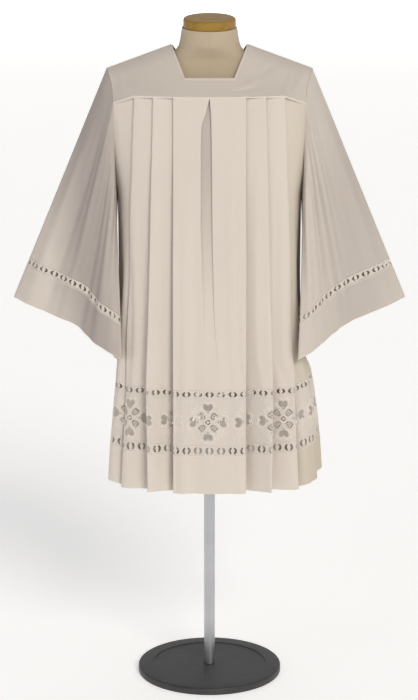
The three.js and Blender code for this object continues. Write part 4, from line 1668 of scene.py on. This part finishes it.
def binding_loop(inset):
    """The bound neck edge, from the left shoulder round the front and back again behind."""

    def half(shape, side):
        bottom = shape["neck_drop"] - inset
        points = []
        for share in spread(0, 1, 16)[1:]:
            fall = bottom * share
            edge = mix(NECK_HALF_WIDTH, shape["neck_half"], fall / shape["neck_drop"]) - inset
            points.append(neck_point(shape, side * edge, fall))
        for share in spread(1, 0, 10)[1:-1]:
            points.append(neck_point(shape, side * (shape["neck_half"] - inset) * share, bottom))
        return points

    def corner(side):
        return Vector((side * (NECK_HALF_WIDTH - inset), SHOULDER_Y, NECK_TOP))

    def middle(shape):
        return [neck_point(shape, 1e-6, shape["neck_drop"] - inset)]

    loop = [corner(-1)] + half(FRONT_YOKE, -1) + middle(FRONT_YOKE) + half(FRONT_YOKE, 1)[::-1]
    return loop + [corner(1)] + half(BACK_YOKE, 1) + middle(BACK_YOKE) + half(BACK_YOKE, -1)[::-1]


def make_binding():
    insets = [5.0, 4.3, 3.2, 2.0, 1.0, 0.4]
    crown = [0.0, 0.55, 0.9, 0.85, 0.5, 0.0]
    flat = Cloth([binding_loop(inset) for inset in insets], closed=True)
    rows = [
        [point + normal * rise for point, normal in zip(row, normals)]
        for row, normals, rise in zip(flat.rows, flat.normals, crown)
    ]
    cloth = Cloth([row + row[:1] for row in rows])
    thickness = thickness_of("trim") * 0.6
    piece = grid_piece(cloth, thickness)
    sew_edges(piece, cloth, (0.8, 0.8), 0.8, 0.4, 1, thickness / 2)
    binding = piece.finish("neck_binding_tape", materials(LAWN_FINISHES))
    length = (cloth.guide[-1] - cloth.guide[0]) * MM
    return declare(binding, ["neck_binding"])


SEAM_PLACE = SLEEVE_COUNT // 2  # the sleeve's seam lies under the arm


def sleeve_cloth(side, distances):
    """Rings of a sleeve, opened at its seam. distances: functions of a line's length."""
    lines = sleeve_lines(side)
    rows = []
    for distance in distances:
        ring = sleeve_ring(lines, side, distance)
        row = ring[SEAM_PLACE:] + ring[: SEAM_PLACE + 1]
        rows.append(row if side < 0 else row[::-1])
    return Cloth(rows)


def level(distance):
    return lambda length: distance


def along(share, above):
    return lambda length: mix(above, length, share)


def make_sleeve(name, side):
    above = SLEEVE_HEM + SLEEVE_INSERTION + SLEEVE_GAP / 2
    cloth = sleeve_cloth(side, [along(share, above) for share in spread(1, 0, 84)])
    thickness = thickness_of("lawn")
    piece = grid_piece(cloth, thickness)
    edge_cord(piece, cloth, 1.0, 2.4, 0.7, 0, thickness / 2)
    sleeve = piece.finish(f"sleeve_{name}_cloth", materials(SLEEVE_FINISHES))
    return declare(sleeve, [f"sleeve_{name}"], 0.172)


def make_sleeve_insertion(name, side):
    top = SLEEVE_HEM + SLEEVE_INSERTION - SLEEVE_GAP / 2
    distances = [level(d) for d in spread(top, SLEEVE_HEM + SLEEVE_GAP / 2, 4)]
    piece = insertion_piece(sleeve_cloth(side, distances))
    insertion = piece.finish(f"sleeve_insertion_{name}_cloth", materials(LACE_FINISHES))
    nodes = [f"sleeve_insertion_{name}_front", f"sleeve_insertion_{name}_back"]
    return declare(insertion, nodes)


def make_sleeve_hem(name, side):
    distances = [level(d) for d in spread(SLEEVE_HEM - SLEEVE_GAP / 2, 0, 15)]
    piece = hem_piece(sleeve_cloth(side, distances))
    hem = piece.finish(f"sleeve_hem_{name}_cloth", materials(SLEEVE_FINISHES))
    return declare(hem, [f"sleeve_hem_{name}"])


# ---------------------------------------------------------------- dress form and stand
FORM = table(
    "z half front back tilt",
    [
        [740, 128, 70, 68, 0],
        [746, 150, 86, 84, 0],
        [764, 165, 97, 95, 0],
        [880, 166, 96, 94, 0],
        [1000, 156, 87, 86, 0],
        [1110, 176, 95, 92, 0],
        [1220, 188, 97, 94, 0],
        [1331, 208, 95, 92, 0],
        [1362, 206, 74, 73, 0],
        [1390, 192, 48, 48, 0],
        [1409, 136, 38, 38, 0],
        [1424, 82, 45, 44, 0],
        [1440, 67, 53, 55, 2.9],
        [1478, 60, 56, 56, 9],
    ],
)
SHARP_HARD = 35  # as SHARP_CLOTH, for the hard pieces
FORM_TOP = FORM[-1]["z"]
CAP_TILT = math.radians(9)


def start_shape(add, **sizes):
    """A new primitive, alone in the selection and open for shaping."""
    if bpy.context.object and bpy.context.object.mode != "OBJECT":
        bpy.ops.object.mode_set(mode="OBJECT")
    bpy.ops.object.select_all(action="DESELECT")
    add(**sizes)
    bpy.ops.object.mode_set(mode="EDIT")
    bpy.ops.mesh.select_all(action="SELECT")
    return bpy.context.object


def select_faces(shape, test):
    """Selects the faces whose middle and normal pass a test, in edit mode."""
    mesh = bmesh.from_edit_mesh(shape.data)
    bpy.ops.mesh.select_all(action="DESELECT")
    bpy.context.tool_settings.mesh_select_mode = (False, False, True)
    for face in mesh.faces:
        face.select_set(test(face.calc_center_median(), face.normal))
    bmesh.update_edit_mesh(shape.data)


def select_edges(shape, test):
    """Selects the edges whose two ends pass a test, in edit mode."""
    mesh = bmesh.from_edit_mesh(shape.data)
    bpy.ops.mesh.select_all(action="DESELECT")
    bpy.context.tool_settings.mesh_select_mode = (False, True, False)
    for edge in mesh.edges:
        edge.select_set(all(test(corner.co) for corner in edge.verts))
    bmesh.update_edit_mesh(shape.data)


def finish_shape(shape, name, material):
    bpy.ops.mesh.select_all(action="SELECT")
    bpy.ops.mesh.normals_make_consistent(inside=False)
    bpy.ops.object.mode_set(mode="OBJECT")
    bpy.ops.object.transform_apply(location=True, rotation=True, scale=True)
    bpy.ops.object.shade_smooth_by_angle(angle=math.radians(SHARP_HARD))
    shape.name = name
    shape.data.materials.clear()
    shape.data.materials.append(finished(material))
    return shape


def round_rims(shape, radius, half, rims):
    """Bevels the outer edges of an upright disc: the upper and then the lower one."""
    for end, (size, segments) in zip((1, -1), rims):
        select_edges(shape, lambda co: end * co.z > half - 1e-5 and co.xy.length > radius * 0.9)
        bpy.ops.mesh.bevel(offset=size, segments=segments, affect="EDGES")


def select_top_middle(shape):
    select_faces(shape, lambda co, normal: normal.z > 0.99 and co.xy.length < 0.002)


def make_form():
    """The body is drawn up ring by ring from its lowest one."""
    curves = {
        name: smooth_curve([row["z"] for row in FORM], [row[name] for row in FORM]) for name in FORM[0]
    }
    levels = [740, 742, 746, 753, 764] + spread(764, 1331, 24)[1:] + spread(1331, FORM_TOP, 30)[1:]
    rings = []
    for z in levels:
        ring = {name: curve(z) * MM for name, curve in curves.items()}
        ring.update(z=z * MM, y=(ring["back"] - ring["front"]) / 2, deep=(ring["back"] + ring["front"]) / 2)
        ring["tilt"] = math.radians(curves["tilt"](z))
        rings.append(ring)
    first = rings[0]
    low = (0, first["y"], first["z"])
    add = bpy.ops.mesh.primitive_circle_add
    shape = start_shape(add, vertices=72, radius=1, fill_type="NGON", location=low)
    bpy.ops.transform.resize(value=(first["half"], first["deep"], 1), center_override=low)
    tilt = 0.0
    for before, ring in zip(rings, rings[1:]):
        move = (0, ring["y"] - before["y"], ring["z"] - before["z"])
        bpy.ops.mesh.extrude_region_move(TRANSFORM_OT_translate={"value": move})
        middle = (0, ring["y"], ring["z"])
        size = (ring["half"] / before["half"], ring["deep"] / before["deep"], 1)
        bpy.ops.transform.resize(value=size, center_override=middle)
        turn = ring["tilt"] - tilt
        if abs(turn) > 1e-5:
            bpy.ops.transform.rotate(value=-turn, orient_axis="X", center_override=middle)
        tilt = ring["tilt"]
    form = finish_shape(shape, "form_cover", "cover_linen")
    return declare(form, ["form_body"])


def make_cap():
    """A turned disc of wood, rounded at its rim, with a small plug in its middle."""
    stand = bpy.context.scene.surplice_stand
    radius, height = stand.cap_radius, stand.cap_height
    low = (FORM_TOP + SEAM_GAP) * MM
    add = bpy.ops.mesh.primitive_cylinder_add
    place = (0, 0, low + height / 2)
    shape = start_shape(add, vertices=96, radius=radius, depth=height, location=place)
    round_rims(shape, radius, height / 2, ((0.0055, 6), (0.0035, 5)))
    select_top_middle(shape)
    bpy.ops.mesh.inset(thickness=0.030)
    bpy.ops.mesh.inset(thickness=0.0006)
    bpy.ops.mesh.extrude_region_move(TRANSFORM_OT_translate={"value": (0, 0, -0.0006)})
    bpy.ops.mesh.inset(thickness=0.0006)
    bpy.ops.mesh.extrude_region_move(TRANSFORM_OT_translate={"value": (0, 0, 0.0010)})
    bpy.ops.mesh.select_all(action="SELECT")
    pivot = (0, 0, low)
    bpy.ops.transform.rotate(value=-CAP_TILT, orient_axis="X", center_override=pivot)
    cap = finish_shape(shape, "neck_cap_wood", "turned_wood")
    return declare(cap, ["form_neck_cap"])


def make_pole():
    """A tube with a locking collar under the form."""
    stand = bpy.context.scene.surplice_stand
    low = stand.base_height + SEAM_GAP * MM
    top = (FORM[0]["z"] - SEAM_GAP) * MM
    radius = stand.pole_radius
    add = bpy.ops.mesh.primitive_cylinder_add
    place = (0, 0, (low + top) / 2)
    shape = start_shape(add, vertices=64, radius=radius, depth=top - low, location=place)
    collar_low, collar_high = top - 0.052, top - 0.022
    for height in (collar_low, collar_high):
        bpy.ops.mesh.select_all(action="SELECT")
        bpy.ops.mesh.bisect(plane_co=(0, 0, height), plane_no=(0, 0, 1))
    low_side, high_side = collar_low - place[2], collar_high - place[2]
    select_faces(shape, lambda co, normal: abs(normal.z) < 0.1 and low_side < co.z < high_side)
    bpy.ops.mesh.extrude_region_shrink_fatten(TRANSFORM_OT_shrink_fatten={"value": 0.004})
    select_edges(shape, lambda co: co.xy.length > radius + 0.003)
    bpy.ops.mesh.bevel(offset=0.0009, segments=3, affect="EDGES")
    pole = finish_shape(shape, "pole_tube", "pole_steel")
    return declare(pole, ["stand_pole"])


def make_base():
    """A heavy round plate with a rounded rim and a raised boss round the pole."""
    stand = bpy.context.scene.surplice_stand
    radius, height = stand.base_radius, stand.base_height
    add = bpy.ops.mesh.primitive_cylinder_add
    shape = start_shape(add, vertices=128, radius=radius, depth=height, location=(0, 0, height / 2))
    round_rims(shape, radius, height / 2, ((0.004, 5), (0.0012, 2)))
    select_top_middle(shape)
    bpy.ops.mesh.inset(thickness=0.030)
    bpy.ops.mesh.extrude_region_move(TRANSFORM_OT_translate={"value": (0, 0, -0.0012)})
    base = finish_shape(shape, "base_plate", "base_paint")
    return declare(base, ["stand_base"])


# ---------------------------------------------------------------- stage
CAMERA_PLACE = (-0.0011, -4.2, 1.645)
CAMERA_PITCH = 11.9  # degrees below the horizon
CAMERA_VIEW = 20.83  # degrees from the top to the bottom of the view


def add_sun(name, azimuth, elevation, strength, softness, tone):
    """A soft far light. azimuth: degrees from the front, rising to the viewer's right."""
    light = bpy.data.lights.new(name, "SUN")
    light.energy = strength
    light.angle = math.radians(softness)
    light.color = tone
    thing = bpy.data.objects.new(name, light)
    thing.rotation_euler = (math.radians(90 - elevation), 0, math.radians(azimuth))
    bpy.context.scene.collection.objects.link(thing)


def paint_stage(shape, name, shine, glow):
    """Finishes a plain matt surface round the object."""
    settings = bpy.context.scene.surplice_stage
    paint = Paint(name)
    speck = paint.noise(3, 2)
    paint.surface(
        Base_Color=paint.mixed(speck, settings.floor_colour, colour(0.87, 0.87, 0.87)),
        Roughness=0.9 + speck * 0.05,
        Specular_IOR_Level=shine,
        Emission_Color=(1, 1, 1, 1),
        Emission_Strength=glow,
    )
    surface = finish_shape(shape, name, name)
    surface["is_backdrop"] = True


def make_stage():
    settings = bpy.context.scene.surplice_stage
    scene = bpy.context.scene
    scene.view_settings.view_transform = "Standard"

    camera = bpy.data.cameras.new("camera")
    camera.sensor_fit = "VERTICAL"
    camera.sensor_height = 24
    camera.lens = 12 / math.tan(math.radians(CAMERA_VIEW / 2))
    camera.clip_end = 200
    thing = bpy.data.objects.new("camera", camera)
    thing.location = CAMERA_PLACE
    thing.rotation_euler = (math.radians(90 - CAMERA_PITCH), 0, 0)
    scene.collection.objects.link(thing)
    scene.camera = thing

    world = bpy.data.worlds.new("surroundings")
    world.use_nodes = True
    background = world.node_tree.nodes["Background"]
    background.inputs["Color"].default_value = (1, 1, 1, 1)
    background.inputs["Strength"].default_value = settings.sky_strength
    scene.world = world

    shape = start_shape(bpy.ops.mesh.primitive_plane_add, size=80, location=(0, 0, 0))
    bpy.ops.mesh.subdivide(number_cuts=3)
    paint_stage(shape, "stage_floor", 0.1, 0.4)

    add = bpy.ops.mesh.primitive_cylinder_add
    shape = start_shape(add, vertices=96, radius=38, depth=6, end_fill_type="NOTHING", location=(0, 0, 2.9))
    paint_stage(shape, "stage_backdrop", 0.0, 0.6)

    add_sun("key_light", 24, 32, settings.key_strength, 24, (1.0, 0.95, 0.87))
    add_sun("fill_light", -50, 22, settings.fill_strength, 60, (0.98, 0.90, 1.0))
    add_sun("back_light", 170, 45, settings.back_strength, 60, (1.0, 0.98, 0.96))


# ---------------------------------------------------------------- operators and panel
class SURPLICE_OT_stage(bpy.types.Operator):
    """Sets up the camera, the lights and the floor"""

    bl_idname = "surplice.stage"
    bl_label = "Stage"

    def execute(self, context):
        make_stage()
        return {"FINISHED"}


class SURPLICE_OT_yoke(bpy.types.Operator):
    """Makes the two halves of the yoke, the bands over their seams and the bound neck"""

    bl_idname = "surplice.yoke"
    bl_label = "Yoke and neck"

    def execute(self, context):
        for name in YOKES:
            make_yoke(name)
            make_seam_band(name)
        make_binding()
        return {"FINISHED"}


class SURPLICE_OT_panels(bpy.types.Operator):
    """Makes the pleated front and back"""

    bl_idname = "surplice.panels"
    bl_label = "Pleated panels"

    def execute(self, context):
        for name in YOKES:
            make_panel(name)
        return {"FINISHED"}


class SURPLICE_OT_lace(bpy.types.Operator):
    """Makes the insertions and the wide lace bands of the skirt"""

    bl_idname = "surplice.lace"
    bl_label = "Lace bands"

    def execute(self, context):
        for name in YOKES:
            make_insertion(name, "upper", UPPER_INSERTION)
            make_lace_band(name)
            make_insertion(name, "lower", LOWER_INSERTION)
        return {"FINISHED"}


class SURPLICE_OT_hems(bpy.types.Operator):
    """Makes the hem bands of the skirt"""

    bl_idname = "surplice.hems"
    bl_label = "Hems"

    def execute(self, context):
        for name in YOKES:
            make_hem(name)
        return {"FINISHED"}


class SURPLICE_OT_sleeves(bpy.types.Operator):
    """Makes the sleeves with their insertions and hems"""

    bl_idname = "surplice.sleeves"
    bl_label = "Sleeves"

    def execute(self, context):
        for name, side in (("left", -1), ("right", 1)):
            make_sleeve(name, side)
            make_sleeve_insertion(name, side)
            make_sleeve_hem(name, side)
        return {"FINISHED"}


class SURPLICE_OT_form(bpy.types.Operator):
    """Makes the dress form with its wooden cap"""

    bl_idname = "surplice.form"
    bl_label = "Dress form"

    def execute(self, context):
        make_form()
        make_cap()
        return {"FINISHED"}


class SURPLICE_OT_stand(bpy.types.Operator):
    """Makes the pole and the base plate"""

    bl_idname = "surplice.stand"
    bl_label = "Stand"

    def execute(self, context):
        make_pole()
        make_base()
        return {"FINISHED"}


OPERATORS = (
    SURPLICE_OT_stage,
    SURPLICE_OT_yoke,
    SURPLICE_OT_panels,
    SURPLICE_OT_lace,
    SURPLICE_OT_hems,
    SURPLICE_OT_sleeves,
    SURPLICE_OT_form,
    SURPLICE_OT_stand,
)
SETTINGS = {
    "surplice_cloth": ClothSettings,
    "surplice_stand": StandSettings,
    "surplice_stage": StageSettings,
}


class SURPLICE_PT_pieces(bpy.types.Panel):
    """Lists the sizes and colours, and the pieces to make"""

    bl_label = "Surplice on dress form"
    bl_idname = "SURPLICE_PT_pieces"
    bl_space_type = "VIEW_3D"
    bl_region_type = "UI"
    bl_category = "Surplice"

    def draw(self, context):
        for name, settings in SETTINGS.items():
            box = self.layout.box()
            for setting in settings.__annotations__:
                box.prop(getattr(context.scene, name), setting)
        column = self.layout.column(align=True)
        for operator in OPERATORS:
            column.operator(operator.bl_idname)


def register():
    for settings in (*SETTINGS.values(), *OPERATORS, SURPLICE_PT_pieces):
        bpy.utils.register_class(settings)
    for name, settings in SETTINGS.items():
        setattr(bpy.types.Scene, name, bpy.props.PointerProperty(type=settings))


def unregister():
    for name in SETTINGS:
        delattr(bpy.types.Scene, name)
    for settings in (SURPLICE_PT_pieces, *OPERATORS[::-1], *SETTINGS.values()):
        bpy.utils.unregister_class(settings)


def write_sizes():
    boxes = {"cad": CAD_BOX, "visual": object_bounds()}
    sizes = {name: [list(corner) for corner in box] for name, box in boxes.items()}


def main():
    register()
    for operator in OPERATORS:
        group, name = operator.bl_idname.split(".")
        getattr(getattr(bpy.ops, group), name)()
    write_sizes()


if __name__ == "__main__":
    main()
